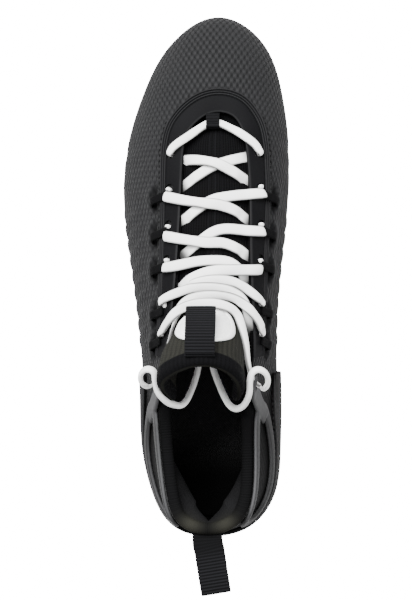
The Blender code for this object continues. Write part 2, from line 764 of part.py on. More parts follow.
def build_lace_loops():
    loops = []
    for row, row_y in enumerate(EYELET_ROWS[1:], 2):
        for side in ("lateral", "medial"):
            points = []
            ups = []
            for step in range(5):
                place = place_at_row((row_y - 5.0 * step / 4.0) * MM, side == "medial")
                share = 1.0 - (10.5 + 11.5 * step / 4.0) * MM / girth(place)
                points.append(raised(place, share, OVERLAY_LIFT + GAP + EYESTAY_WALL))
                ups.append(skin_normal(place, share))
            name = f"lace_loop_{side}_{row}"
            loops.append(add_sweep(name, points, ups, strip(LOOP_WIDTH, LOOP_WALL), "webbing", PARTS))
    return loops


# Badge and webbing loops

def tongue_face():
    """Top of the tongue's face, the way down it and the way off it, at the middle."""
    bend = np.array([0.0, TONGUE[-2].y, TONGUE[-2].z]) * MM
    foot = np.array([0.0, TONGUE[0].y, TONGUE[0].z]) * MM
    down = unit(foot - bend)
    return foot - down * TONGUE_FACE, down, np.array([0.0, -down[2], down[1]])


def build_badge(tongue):
    tree = tree_of([tongue])
    top, down, off = tongue_face()
    across = np.array([1.0, 0.0, 0.0])
    centre = top + down * 20.5 * MM + across * 2.5 * MM

    def on_face(radius, turn):
        spot = centre + across * radius * math.cos(turn) + down * radius * math.sin(turn)
        hit = tree.ray_cast(Vector(spot + off * 30.0 * MM), Vector(-off))[0]
        return np.array(hit) + off * BADGE_LIFT

    steps = 18
    verts = [on_face(0.0, 0.0)]
    for ring in (1, 2, 3):
        radius = BADGE_RADIUS * ring / 3.0
        verts += [on_face(radius, 2.0 * math.pi * step / steps) for step in range(steps)]
    faces = []
    for step in range(steps):
        after = (step + 1) % steps
        faces.append((0, 1 + step, 1 + after))
        for inner in (1, 1 + steps):
            outer = inner + steps
            faces.append((inner + step, outer + step, outer + after, inner + after))
    badge = add_object("tongue_badge", verts, faces, "badge_white", PARTS)
    shell = badge.modifiers.new("wall", "SOLIDIFY")
    shell.thickness = BADGE_WALL
    shell.offset = 1.0
    return badge


def build_tongue_pull():
    top, down, off = tongue_face()
    points = [top + down * along * MM + off * away * MM + np.array([0.5 * MM, 0.0, 0.0])
              for along, away in curve_through(TONGUE_PULL, 20)]
    across = np.array([1.0, 0.0, 0.0])
    return add_strap("tongue_pull_loop", points, across, PULL_WIDTH, WEBBING, "webbing")


def build_heel_pull():
    points = []
    for y, z in curve_through(HEEL_PULL, 22):
        x = HEEL_PULL_X - (y - HEEL_PULL[0][0]) * HEEL_PULL_LEAN
        points.append(np.array([x, y, z]) * MM)
    across = unit(np.array([1.0, HEEL_PULL_LEAN, 0.0]))
    return add_strap("heel_pull_loop", points, across, PULL_WIDTH, WEBBING, "webbing")


def build_throat_loop(tongue):
    tree = tree_of([tongue])
    points = []
    for y, height in curve_through(THROAT_LOOP, 12):
        over = Vector((THROAT_LOOP_X * MM, y * MM, 0.2))
        floor = tree.ray_cast(over, DOWN)[0]
        points.append(np.array(floor) + np.array([0.0, 0.0, height * MM]))
    across = np.array([1.0, 0.0, 0.0])
    return add_strap("throat_loop", points, across, THROAT_LOOP_WIDTH, WEBBING, "webbing")


# Lace

def lay_strand(tree, strand):
    """Path of a strand laid on what is under it, and its up direction at each point."""
    spans = 2 + int(span(strand.route) / 5.5)
    plan = curve_through(np.array(strand.route) * MM, 3 * spans + 1)
    tangents = path_tangents(plan, False)
    levels = []
    for point, tangent in zip(plan, tangents):
        side = unit(np.array([tangent[1], -tangent[0]])) * 0.5 * LACE_WIDTH
        spots = [point + side * share for share in (-1.0, -0.5, 0.0, 0.5, 1.0)]
        levels.append([tree.ray_cast(Vector((*spot, 0.2)), DOWN)[0].z for spot in spots])
    levels = np.array(levels)
    slopes = np.clip((levels[:, 4] - levels[:, 0]) / LACE_WIDTH, -1.0, 1.0)
    for _ in range(12):
        slopes[1:-1] = 0.25 * slopes[:-2] + 0.5 * slopes[1:-1] + 0.25 * slopes[2:]
    across = np.linspace(-0.5, 0.5, 5) * LACE_WIDTH
    heights = np.max(levels - slopes[:, None] * across, axis=1)
    heights += LACE_CLEAR + 0.5 * LACE_WALL * np.hypot(1.0, slopes)
    padded = np.pad(heights, 2, mode="edge")
    heights = np.max([padded[shift:shift + len(heights)] for shift in range(5)], axis=0)
    for _ in range(12):
        heights[1:-1] = np.maximum(heights[1:-1], 0.5 * (heights[:-2] + heights[2:]))
    ups = []
    for tangent, slope in zip(tangents, slopes):
        side = unit(np.array([tangent[1], -tangent[0]]))
        ups.append(unit(np.array([-side[0] * slope, -side[1] * slope, 1.0])))
    points = np.column_stack((plan, heights))
    return [*points[::3]], ups[::3]


def span(route):
    steps = np.diff(np.array(route, dtype=float), axis=0)
    return float(np.sum(np.linalg.norm(steps, axis=1)))


def push_clear(tree, point):
    """Move a point of the lace off the parts that it would touch."""
    clear = LACE_CLEAR + 0.5 * LACE_WALL
    up = np.array([0.0, 0.0, 1.0])
    for _ in range(5):
        near, normal, _, away = tree.find_nearest(Vector(point))
        up = np.array(normal)
        inside = np.dot(point - np.array(near), up) < 0.0
        if away >= clear and not inside:
            break
        point = np.array(near) + up * clear * 1.02
    return point, up


def build_lace(name, strands, tree):
    whole = None
    for index, strand in enumerate(strands):
        points, ups = lay_strand(tree, strand)
        if strand.tail:
            knots = [points[-2], points[-1], *(np.array(spot) * MM for spot in strand.tail)]
            tail = curve_through(knots, 3 + int(span(knots) / (5.0 * MM)))[2:]
            for spot in tail:
                point, up = push_clear(tree, spot)
                points.append(point)
                ups.append(unit(0.5 * up + ups[-1]))
        label = name if whole is None else f"{name}_{index}"
        made = add_sweep(label, points, ups, oval(LACE_WIDTH, LACE_WALL), "lace_white", PARTS)
        if whole is None:
            whole = made
        else:
            combine(whole, made, "UNION")
    return whole


def build_lace_end(name, route, tree):
    """Free end that comes out of a fin; its flat side turns to the nearest part."""
    points = curve_through(np.array(route) * MM, 3 + int(span(route) / 5.0))
    up = np.array([0.0, 0.0, 1.0])
    ups = []
    for index, tangent in enumerate(path_tangents(points, False)):
        forward = unit(tangent)
        if index:
            points[index], normal = push_clear(tree, points[index])
            up = up + 0.7 * normal * math.copysign(1.0, np.dot(normal, up))
        up = unit(up - forward * np.dot(up, forward))
        ups.append(up)
    return add_sweep(name, points, ups, oval(LACE_WIDTH, LACE_WALL), "lace_white", PARTS)


clear_file()
PARTS = make_collection("lacrosse_cleat")
CUTTERS = make_collection("cutters")
MATERIALS = {name: make_material(name, *values) for name, values in FINISHES.items()}

UPPER = build_upper()
build_outsole()
build_insole()
TONGUE_PART = build_tongue()
EYESTAY = build_eyestay()
build_counter()
CAGES = [build_cage("cage_lateral", False), build_cage("cage_medial", True)]
LOOPS = build_lace_loops()
BADGE = build_badge(TONGUE_PART)
PULL = build_tongue_pull()
build_heel_pull()
build_throat_loop(TONGUE_PART)

UNDER_LACE = tree_of([UPPER, TONGUE_PART, EYESTAY, BADGE, *LOOPS])
for lace_name, lace_strands in LACE.items():
    build_lace(lace_name, lace_strands, UNDER_LACE)
ROUND_ENDS = tree_of([UPPER, TONGUE_PART, EYESTAY, *CAGES])
for lace_name, lace_route in LACE_ENDS.items():
    build_lace_end(lace_name, lace_route, ROUND_ENDS)

ORIGIN = bpy.data.objects.new("lacrosse_cleat_origin", None)
PARTS.objects.link(ORIGIN)
for part in list(PARTS.objects):
    if part is not ORIGIN:
        part.parent = ORIGIN
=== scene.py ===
"""Finishes, soft parts and lace of a left lacrosse cleat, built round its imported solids.

+X is the inner (medial) side, +Y the toe, +Z up; the floor is z = 0.  Tables are in millimetres.
"""

import math
from collections import namedtuple

import bmesh
import bpy
import numpy as np
from mathutils import Matrix, Vector
from mathutils.bvhtree import BVHTree


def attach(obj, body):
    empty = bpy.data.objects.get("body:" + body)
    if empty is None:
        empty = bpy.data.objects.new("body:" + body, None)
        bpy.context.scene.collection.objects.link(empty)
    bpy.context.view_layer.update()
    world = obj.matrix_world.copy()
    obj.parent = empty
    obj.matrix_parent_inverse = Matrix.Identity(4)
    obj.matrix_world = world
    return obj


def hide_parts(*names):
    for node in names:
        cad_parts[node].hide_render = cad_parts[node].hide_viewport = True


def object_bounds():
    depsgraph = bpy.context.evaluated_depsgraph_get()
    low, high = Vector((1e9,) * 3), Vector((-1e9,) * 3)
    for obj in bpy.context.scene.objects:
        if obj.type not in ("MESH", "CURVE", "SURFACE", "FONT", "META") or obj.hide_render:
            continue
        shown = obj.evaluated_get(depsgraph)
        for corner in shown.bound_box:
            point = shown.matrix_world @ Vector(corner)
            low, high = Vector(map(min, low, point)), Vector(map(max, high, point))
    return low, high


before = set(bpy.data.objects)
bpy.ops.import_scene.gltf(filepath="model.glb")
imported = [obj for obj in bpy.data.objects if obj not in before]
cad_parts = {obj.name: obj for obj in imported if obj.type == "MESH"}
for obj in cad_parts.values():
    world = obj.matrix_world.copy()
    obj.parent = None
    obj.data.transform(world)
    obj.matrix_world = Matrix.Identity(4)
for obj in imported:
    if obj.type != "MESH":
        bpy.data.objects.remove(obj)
CAD_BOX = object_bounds()

bl_info = {
    "name": "Lacrosse Cleat",
    "version": (1, 0, 0),
    "blender": (4, 5, 0),
    "location": "View3D > Sidebar > Cleat",
    "description": "Dresses the solids of a lacrosse cleat with its cloth, film, webbing and lace",
    "category": "Add Mesh",
}

MM = 0.001
DOWN = Vector((0.0, 0.0, -1.0))
ACROSS = np.array([1.0, 0.0, 0.0])
UP = np.array([0.0, 0.0, 1.0])
CAST_HEIGHT = 0.2

# Last sheet from heel to toe, as the solids have it
Section = namedtuple(
    "Section",
    "name y lateral medial inset feather plate lip top_y top_lateral top_medial top_z rise reach drop",
)
LAST = (
    Section("heel", -132, 3.5, 3.5, 3.5, 19.5, 13.5, 9.0, -129, 3.5, 3.5, 104, 26, -2.5, 34),
    Section("heel_corner", -127, -17, 24.3, 4, 18.8, 12.0, 8.5, -122.5, -13.5, 21, 101, 26, -1, 32),
    Section("heel_side", -109, -28.6, 37.6, 4.5, 17.8, 11, 7.5, -104, -19.8, 27.2, 93, 26, 3, 28),
    Section("ankle", -83, -34.5, 40.6, 5, 18, 11.2, 6.5, -79, -22.4, 27, 87, 26, 6, 25),
    Section("collar_front", -53, -35.4, 41, 6.5, 20, 14, 6, -51, -22.6, 27.2, 92, 27, 7, 28),
    Section("instep", -15, -37.6, 40.6, 9, 20.5, 15.5, 6, -21, -17.6, 28, 98, 30, 11, 20),
    Section("waist", 22, -42.7, 43.3, 7, 18.5, 13, 6, 18, -13.7, 26.5, 94, 30, 15, 13),
    Section("ball", 60, -47.6, 47.2, 4.5, 15.6, 10.6, 5.5, 58, -12, 25.8, 82.5, 26, 19, 9),
    Section("forefoot", 91, -44.7, 47.2, 4, 16, 11, 5.5, 86, -10.7, 23.7, 75, 23, 24, 7),
    Section("toe_root", 119, -35.8, 43.4, 4, 18.6, 13.6, 6, 97, -6.3, 20.6, 71, 21, 28, 6),
    Section("toe_side", 146, -20.5, 33, 4.5, 23.8, 18.6, 7.5, 103, 0.5, 16, 69.3, 20, 33, 5.5),
    Section("toe", 161, 7, 7, 5, 28.5, 23, 9, 105.2, 8.2, 8.2, 68.5, 20, 36, 5),
)
TOE = len(LAST) - 1
RING = 2 * TOE
EYESTAY_END = 5.0 - 1.0 / 3.0
COLLAR_PAD_FRONT = (3.7, 4.5)
COLLAR_PAD_RISE = (0.55, 0.85)
FLARE_START = 6.0 * MM
FLARE_ROUNDS = 14
FLARE_SHARE = 0.43
NORMAL_STEP = 0.8 * MM
PLACE_STEP = 0.02

# Overlay heights and other sizes that the solids fix
GAP = 0.3 * MM
OVERLAY_LIFT = 0.5 * MM
EYESTAY_WALL = 1.2 * MM
BORDER_START = 8.8 * MM
BORDER_GROOVES = (9.7 * MM, 11.1 * MM, 12.5 * MM)
BORDER_RIDGES = (10.4 * MM, 11.8 * MM, 13.2 * MM)
BORDER_END = 13.8 * MM
GROOVE_WIDTH = 0.36 * MM
GROOVE_DEPTH = 0.7 * MM
RIDGE_WIDTH = 0.34 * MM
RIDGE_HEIGHT = 0.2 * MM
# Painted highlight on the border's ridges and along the eyestay's throat edge: its strength, place and width
RIDGE_HIGHLIGHT = 0.8
EYESTAY_OVER = 0.6 * MM
EYESTAY_ROUND = 0.8 * MM
EDGE_HIGHLIGHT_OVER = 0.2 * MM
EDGE_HIGHLIGHT_WIDTH = 0.5 * MM
SEAM_BESIDE = 1.6 * MM
SEAM_FRONT = 2.2
SEAM_LIFT = 0.15 * MM
STITCH_GAP = 1.5 * MM
STITCH_RADIUS = 0.38 * MM
STITCH_SWELL = np.array([0.35, 0.9, 1.0, 0.9, 0.35])
STITCH_ARCH = np.array([-0.9, 0.1, 0.4, 0.1, -0.9])
EYELET_INSET = 7.0 * MM
EYELET_RADIUS = 2.6 * MM
COUNTER_WALL = 1.8 * MM
COUNTER_OVER_LIP = 1.2 * MM
COUNTER_ROUND = 1.6 * MM
COUNTER_ROWS = 34
PRINT_SECTIONS = (0.8, 1.8, 3.6, 4.2)
PRINT_RISE = (0.3, 0.55)
BEAD_BELOW = 0.6 * MM
BEAD_WIDTH = 1.1 * MM
BEAD_HEIGHT = 0.55 * MM
BEAD_SEAT = 0.8
BEAD_TIP = 0.15
BEAD_TIP_STEPS = 6.0
CAGE_WALL = 2.4 * MM
CAGE_CLEAR = 0.5 * MM
RING_WIDTH = 6.0 * MM
FIN_WIDTH = 10.0 * MM
FIN_HOLE = 3.4 * MM
FIN_TAPER = 0.12
CAGE_STEPS = 160
CAGE_VOXEL = 0.45 * MM
CAGE_MIDDLE = 3.0
CAGE_MIDDLE_INSET = 20.0 * MM
FIN_TIP = (0.8, 1.0)
# Painted light on the cage: highlight at its edges and fin, shade along its lower bar
CAGE_LIGHT_FACING = (0.2, 0.9)
CAGE_LIGHT_FIN_Y = (-72 * MM, -58 * MM)
CAGE_SHADE_BAR_Z = (68 * MM, 78 * MM)
CAGE_LIGHT_ALL = 0.25
CAGE_LIGHT_EDGE = 0.6
CAGE_LIGHT_FIN = 0.5
CAGE_SHADE_BAR = 0.16
LIP_WALL = 1.6 * MM
EDGE_STEP = 1.0 * MM
CUP_INSET = 3.0 * MM
LIP_FOOT = 0.98
BASE_ROUND = 0.8 * MM
BASE_INSET = 1.2 * MM
BASE_STEP = 0.6
INSOLE_PLAY = 1.5 * MM
INSOLE_DISH = -0.6 * MM
# Painted shade on the footbed towards the heel
INSOLE_SHADE = (-104 * MM, -72 * MM)
STUD_TIP = 4.3 * MM
STUD_BASE = 7.0 * MM
STUD_STRETCH = 1.25
STUD_ROOT = 2.0 * MM
TONGUE_CLEAR = 0.7 * MM
TONGUE_TUCK = 7.0 * MM
TONGUE_CROWN = 0.13
TONGUE_SWEEP = 20.0 * MM
CROWN_END = (8.2, 9.6)
SWEEP_END = (5.0, 6.3)
SWEEP_CROWN = 0.12
TONGUE_FACE = 30.6 * MM
TONGUE_COLUMNS = 13
BADGE_RADIUS = 16.5 * MM
BADGE_DOWN = 22.5 * MM
BADGE_X = 2.5 * MM
BADGE_CLEAR = 0.35 * MM
BADGE_CAST = 30.0 * MM
LOOP_WIDTH = 5.5 * MM
LOOP_DRAWN_IN = 0.85
LOOP_WALL = 1.3 * MM
LOOP_BEND = 0.5 * MM
LOOP_BEND_AT = 0.62
LOOP_BEND_WIDTH = 0.12
LOOP_DIVE = 3.4 * MM
LOOP_DIVE_SPAN = (0.74, 1.0)
LOOP_RIBS = 14
LOOP_RIB_RISE = 0.14
LOOP_STEPS = 60

# Free part of the tongue, one horseshoe per row
Arch = namedtuple("Arch", "name x y z half depth wrap drop")
TONGUE = (
    Arch("above_lace", 3.8, -7, 110, 19.5, 15, 112, 18),
    Arch("badge", 2.8, -14, 118.5, 21, 16, 117, 25),
    Arch("under_roll", 1.8, -24, 130, 21.9, 14.5, 120, 33.5),
    Arch("roll", 1.5, -31.5, 133.5, 22, 14.5, 121, 36),
)
TONGUE_SECTIONS = (9.5, 9.0, 8.3, 7.6, 7.0, 6.5, 6.0, 5.5, 5.0)

# Relief of the tongue, in shares of its length and of its half width
ROLL_START = (0.93, 0.97)
ROLL_SEAM = 0.945
ROLL_LIFT = 0.9 * MM
ROLL_WALL = 1.6 * MM
BAND_ALONG = (0.12, 0.16, 0.62, 0.66)
BAND_EDGE = (0.14, 0.18)
BAND_LIFT = 0.9 * MM
CHEEK_START = (0.80, 0.90)
CHEEK_ACROSS = -0.62
CHEEK_WIDTH = 0.2
CHEEK_LIFT = 2.8 * MM
LOWER_END = (0.60, 0.68)
FOLD_ACROSS = 0.165
FOLD_WIDTH = 0.016
MIDDLE_FOLD_WIDTH = 0.012
CROWN_TURNS = (25, 50, 72)

# Badge from its middle over its ring to its underside, in shares of its radius and in millimetres
Level = namedtuple("Level", "radius height")
BADGE_LEVELS = (
    Level(0.03, 1.0), *(Level(share, 1.0) for share in np.linspace(0.12, 0.82, 8)),
    Level(0.845, 0.78), Level(0.865, 0.78), Level(0.885, 1.25), Level(0.91, 1.4), Level(0.96, 1.4),
    Level(0.985, 1.2), Level(1.0, 0.75), Level(1.0, 0.25), Level(0.97, 0.1), Level(0.5, 0.1),
    Level(0.03, 0.1),
)

# Rows of eyelets, and the lace loops' way from their row: back, sweep, inset and length, in millimetres
EYELET_ROWS = (80.5, 61.5, 41.0, 21.5, -3.7, -20.0)
LOOP_BACK = 3.4
LOOP_SWEEP = 5.4
LOOP_INSET = 6.5
LOOP_LENGTH = 16.0

Stud = namedtuple("Stud", "name section inset")
SIDE_STUDS = (
    Stud("heel_back", 1.25, 10),
    Stud("heel_front", 2.75, 9),
    Stud("waist", 6.35, 9),
    Stud("ball", 7.15, 9),
    Stud("forefoot", 8.15, 9),
    Stud("toe_root", 9.25, 10),
)
CENTRE_STUDS = (("toe", 139), ("forefoot", 84))
STUD_FLATTEN = 0.9
STUD_TIP_LEVELS = (Level(0.55, 0.0), Level(0.86, 0.0), Level(0.96, 0.25), Level(1.0, 0.8))
STUD_SHANK = (0.3, 0.6, 0.85, 1.0)

# Edge of the plate: its lip by millimetres below the lip's edge and share of the lip's wall, and its side by
# shares of the edge step and of the height
LipRing = namedtuple("LipRing", "name below wall")
LIP_RINGS = (LipRing("inside", 0.3, 0.0), LipRing("top", -0.2, 0.5), LipRing("outside", 0.5, 1.0))
SideRing = namedtuple("SideRing", "name out down")
SIDE_RINGS = (SideRing("over_notch", 1.9, 0.16), SideRing("notch", 0.6, 0.35), SideRing("side", 1.2, 0.55))

# Edge of the insole from its underside to its top, in millimetres
InsoleRing = namedtuple("InsoleRing", "name inset height")
INSOLE_EDGE = (InsoleRing("base", 0, 0), InsoleRing("side", 0, 3), InsoleRing("shoulder", 0.4, 3.8),
               InsoleRing("top", 1.4, 4))

Step = namedtuple("Step", "section height")
CAGE_RING = (
    Step(3.72, 0.845), Step(3.5, 0.9), Step(3.0, 0.92), Step(2.4, 0.93), Step(1.75, 0.925),
    Step(1.25, 0.875), Step(1.04, 0.75), Step(1.25, 0.615), Step(1.8, 0.555), Step(2.5, 0.56),
    Step(3.1, 0.61), Step(3.5, 0.685), Step(3.72, 0.765),
)
CAGE_FIN = (Step(3.55, 0.74), Step(3.75, 0.86), Step(3.95, 0.97), Step(4.1, 1.07), Step(4.2, 1.15))
FIN_EYELET = Step(4.15, 1.1)
COUNTER_TOP = (Step(0, 0.55), Step(1, 0.49), Step(2, 0.46), Step(3, 0.49), Step(13.0 / 3.0, 0.60))

# Loops of webbing seen from the side
TONGUE_PULL = ((-3, -2.2), (0, 0.4), (4, 3.1), (10, 3.7), (20, 4.2), (24.6, 5.2), (26, 7), (24.6, 8.8),
               (18, 9.2), (10, 8.2), (4, 6.2), (0, 3.0), (-3, -0.2))
HEEL_PULL = ((-125.6, 99.1), (-129.9, 100.3), (-140, 103), (-152, 104.6), (-158.6, 104.4), (-160.3, 102.6),
             (-158.8, 100.8), (-150, 98.4), (-141, 93.8), (-133.8, 87.8), (-130.4, 84.8), (-127.2, 82.2))
HEEL_SEAM_Y = -129.9
HEEL_PULL_X = 3.0
HEEL_PULL_LEAN = 0.17
HEEL_LEAN_START = 9.0 * MM
HEEL_RIBS_Y = (-135 * MM, -145 * MM)
HEEL_SEWN_RIB = 0.2
TONGUE_PULL_X = 0.5 * MM
RIB_SHARPNESS = 0.8
RIB_SPREAD = 0.02
RIB_PIT = 0.35
RIB_RISE = 0.55
THROAT_LOOP = ((102.3, 1.3), (101.9, 4.5), (100.5, 7), (97.5, 7.8), (94.5, 7), (93.1, 4.5), (92.7, 1.3))
THROAT_LOOP_X = 5.2
THROAT_LOOP_WIDTH = 7.5 * MM
KEEPER_FRONT = 116.0
KEEPER_SHARE = 0.85

# Lace seen from above, the strands of each crossing from the lowest to the top one.  An end that turns
# folds back into the nearest eyelet, one that tucks goes under the eyestay's edge or the next strand, and
# one that runs on has a tail with heights of its own, which leans on the tongue's side.  A tucked end lies
# in shade over the length of its fade.
Strand = namedtuple("Strand", "route ends tail lean width fade", defaults=((), 0.0, 1.0, 3.0))
LACE = {
    "lace_start": (
        Strand(((-19, 80.8), (-17.6, 84.2), (-14.4, 87.2), (-7.4, 92), (0.6, 97.6), (5.2, 99.2),
                (9.8, 98.4), (15, 96), (20.6, 93), (26.8, 88.6), (30, 85.2), (31.5, 81.5)),
               ("turn", "turn"), width=0.78),
    ),
    "lace_cross_1": (
        Strand(((22.8, 79.6), (19.9, 78.9), (12.5, 76.8), (5.1, 74.1), (-3.5, 68.8), (-8.8, 65)),
               ("tuck", "tuck")),
        Strand(((-11, 77.9), (-5.6, 78), (1.8, 77.2), (9.2, 75.3), (17.8, 70.7), (23.4, 66.8)),
               ("tuck", "tuck")),
    ),
    "lace_cross_2": (
        Strand(((35.6, 59.3), (25.9, 58.6), (14.8, 57.4), (5.3, 55.3), (-3.2, 50), (-10, 44.5)),
               ("turn", "tuck")),
        Strand(((-22.5, 57.9), (-11.3, 55.4), (0, 53.7), (9.5, 52.6), (18, 49.5), (23, 45.8)),
               ("turn", "tuck")),
    ),
    "lace_cross_3": (
        Strand(((35.4, 37.8), (26, 38.2), (13.4, 39.2), (5.5, 37.1), (-3, 30.8), (-7.5, 27.2)),
               ("turn", "tuck")),
        Strand(((-22.3, 35.7), (-11, 33.5), (1.3, 31.8), (11.8, 31.3), (19.7, 28.2), (23.5, 25.4)),
               ("turn", "tuck")),
    ),
    "lace_top": (
        Strand(((-22.6, 17.8), (-15.6, 18.6), (-2.2, 21.2), (8.3, 21.7), (15.2, 20.7), (20.4, 17),
                (23.4, 12.4)), ("turn", "tuck")),
        Strand(((34, 17), (28.2, 16.5), (15.2, 16.5), (6.3, 15.9), (-0.1, 14.4), (-7, 11.2),
                (-11, 7.7)), ("turn", "tuck")),
        Strand(((34.4, -2), (32.7, -0.4), (28.1, 3.5), (22.4, 7.6), (17.4, 10), (11.8, 11.1), (4.7, 11.1),
                (-1.7, 9.8), (-6, 8), (-9, 6.2)), ("turn", "tuck"), width=0.86),
        Strand(((-24.4, -2), (-20.9, 0.6), (-15.2, 3.2), (-6.7, 6.2), (-1, 7.1), (4, 7.3), (10.3, 6.8),
                (16, 5.3), (21, 2.1), (24, -2.1), (25.4, -7.8), (25.9, -13.5), (26.4, -19)),
               ("turn", "tuck"), width=0.86, fade=26.0),
        Strand(((33.4, -18.4), (33, -15.4), (31.3, -11.4), (27.4, -6), (23.1, -2.1), (18.1, 1.1),
                (11.8, 2.6), (4.7, 2.9), (-1.7, 2.1), (-7, 0.1), (-10.6, -2.8), (-13.1, -7.1)),
               ("turn", "run"),
               ((-14.8, -12, 106), (-15.9, -16.5, 103), (-17, -22, 101.5), (-18.4, -29, 101),
                (-20, -35.5, 101), (-21.8, -41.5, 101.6), (-23.6, -45.6, 102), (-26.4, -46.5, 101.8)),
               lean=0.6, width=0.86),
        Strand(((-22.6, -18.8), (-21.2, -16), (-18, -11.4), (-14.5, -7.2), (-10.2, -4.3), (-4.6, -2.3),
                (1.8, -1.7), (7.5, -1.8), (13.2, -3.1), (17.4, -5.3), (20.4, -8.9)), ("turn", "run"),
               ((22.2, -14, 106.4), (23.2, -20, 106), (24.4, -28, 106), (25.8, -35.5, 106),
                (27.2, -41.5, 103.8), (28.8, -46.2, 101.9), (32, -47.2, 101.9)), lean=0.09, width=0.86),
    ),
}
LACE_ENDS = {
    "lace_end_lateral": (
        (-26.6, -46.5, 101.8), (-28.9, -47.8, 102.3), (-31.6, -46.6, 104), (-33.2, -43.4, 107),
        (-32.2, -39.4, 110.2), (-28.6, -37.5, 113), (-25, -39.2, 113.2), (-23.4, -43.8, 112.4),
        (-21.6, -50, 109), (-18.4, -55.2, 101.5), (-15, -57.6, 95), (-11.6, -58, 90.5),
        (-8.8, -55.6, 87.5), (-6.2, -50, 85.5), (-4, -44, 85), (-2.4, -37.5, 86), (-1.6, -32, 87)),
    "lace_end_medial": (
        (32.2, -47.2, 101.9), (33.4, -49.4, 102.4), (35.6, -47.6, 104), (36.7, -44, 107),
        (35.4, -39.8, 110.4), (31.4, -37.6, 113), (27.9, -39.6, 113.2), (26.8, -44.2, 112.4),
        (26.6, -49.7, 109.4), (25, -54.8, 102.6), (22.4, -58.4, 95.6), (19, -60, 90),
        (15.6, -58.8, 87), (12.6, -54.5, 85.5), (9.4, -47.5, 85), (6.6, -40, 86), (5.2, -34, 87)),
}
LACE_SPAN_LIFT = 2.6 * MM
# Painted shade along the lace's edges
LACE_EDGE_SHADE = (0.76, 0.98)
TUCK_STEPS = 6
STUB_APART = 4.6 * MM
STUB_LONG = 1.3 * MM
STUB_WIDE = 1.55 * MM
STRAIGHT_IN = 2.6 * MM
EYELET_DIVE = (1.4, -1.6, -5.0)
FoldKnot = namedtuple("FoldKnot", "forward share below")
FOLD_KNOTS = (FoldKnot(1.2, 0.35, 0), FoldKnot(0.6, 0.9, 0), FoldKnot(-1.2, 1, 1.2), FoldKnot(-3, 1, 1.6))
FOLD_WIDTH_SHARE = (0.5, 0.42)
FOLD_WALL = 0.8
STUB_SHIFT = (-1.1 * MM, 0.9 * MM)
STUB_DOME = ((1.0, -3.0), (1.0, -0.4), (0.97, 0.2), (0.86, 0.65), (0.62, 0.95), (0.3, 1.1), (0.05, 1.15))
TUCK_FREE = 7.0
TUCK_SHADE = 3.5
TUCK_OVER = 0.45 * MM
TUCK_WALL = 0.28
RUN_THIN = 0.4
RUN_END = 9 * MM
RUN_END_WIDTH = 0.35
LACE_CLEAR = 0.2 * MM
# Shares of width, wall and shade of plain lace and of its free ends, and how strong the painted shade on the
# ends' edges is
PLAIN_FORM = np.array([[1.0, 1.0, 0.0]])
END_FORM = np.array([[0.94, 1.0, 0.0]])
END_EDGE_SHADE = 0.2
END_HELD = 4
END_LOOP = (20 * MM, 26 * MM)
END_FLAT = 0.42
END_ON_EDGE = 0.36
END_TURNED = 1.4
END_BESIDE = 0.92
END_STARTS = ((0.3, 8 * MM), (0.6, 5 * MM))

# Slots of the lace loops: where they lie below the top edge and behind the eyelet row, the bow of their
# edge, the pit behind it and the lip below it, which runs out slowly, and the painted shade over the pit
SLOT_INSET = 18.6 * MM
SLOT_BACK = 5.2 * MM
SLOT_HALF = 7.6 * MM
SLOT_BAND = (15.0 * MM, 28.0 * MM)
SLOT_BOW = 1.6 * MM
PIT_DEPTH = 1.5 * MM
PIT_ABOVE = 0.4 * MM
PIT_WIDTH = 2.0 * MM
LIP_HEIGHT = 1.2 * MM
LIP_BELOW = 2.8 * MM
LIP_START = 0.9 * MM
LIP_RUN_OUT = 4.0 * MM
SHADE_ABOVE = 0.5 * MM
SHADE_WIDTH = 2.2 * MM
SHADE_STRENGTH = 1.6

# Ripples on both quarters, with the bands along the shoe and below the top edge that they fill
RIPPLE_PITCH = 9.6 * MM
RIPPLE_SLANT = 0.4
RIPPLE_CREST = 0.75
RIPPLE_HEIGHT = 0.75 * MM
RIPPLE_ALONG = (-34 * MM, -22 * MM, 44 * MM, 56 * MM)
RIPPLE_BELOW = (27 * MM, 36 * MM, 66 * MM, 80 * MM)

# Creases where the foot bends the vamp, in millimetres
Crease = namedtuple("Crease", "name y slant width depth")
CREASES = (Crease("toe", 97, 0.25, 4.0, 0.4), Crease("ball", 84, 0.2, 3.5, 0.28))
CREASE_BELOW = (16 * MM, 30 * MM)

# Pads on both sides of the heel and their olive corners, lighter near the top edge as painted highlight;
# places are in sections of the last
PAD_DEPTH = 9.5 * MM
PAD_SECTIONS = 2.8
PAD_FULLNESS = 0.75
PAD_BELOW = (4 * MM, 18 * MM, 34 * MM, 52 * MM)
PAD_MARK_FRONT = (1.9, 3.0)
PAD_MARK_BELOW = (3 * MM, 7 * MM, 26 * MM, 36 * MM)
CORNER_SECTION = 0.6
CORNER_WIDTH = 0.42
CORNER_BELOW = ((3 * MM, 13 * MM), (3.4 * MM, 6 * MM))

# Dark rim of the collar and dark heel under the counter
RIM_FRONT = (4.3, 4.8)
RIM_BELOW = (5.0 * MM, 6.5 * MM)
HEEL_DARK = 0.97
HEEL_DARK_FRONT = (-60 * MM, -42 * MM)

# Films and plastics, with the colour of their painted highlight lines, the scale of their skin and its depth
# in millimetres
Film = namedtuple("Film", "name line roughness specular scale depth")
FILMS = (
    Film("film", "piping", 0.55, 0.02, 1500.0, 0.05),
    Film("piping", "piping", 0.5, 0.04, 1200.0, 0.04),
    Film("plate", "plate", 0.45, 0.08, 700.0, 0.06),
    Film("badge", "badge", 0.55, 0.3, 900.0, 0.05),
)
# Woven threads, with the width and length of their weave in millimetres
Thread = namedtuple("Thread", "name across along roughness")
THREADS = (
    Thread("webbing", 0.9, 1.25, 0.85),
    Thread("lace", 1.1, 1.5, 0.8),
    Thread("thread", 0.5, 0.7, 0.7),
)
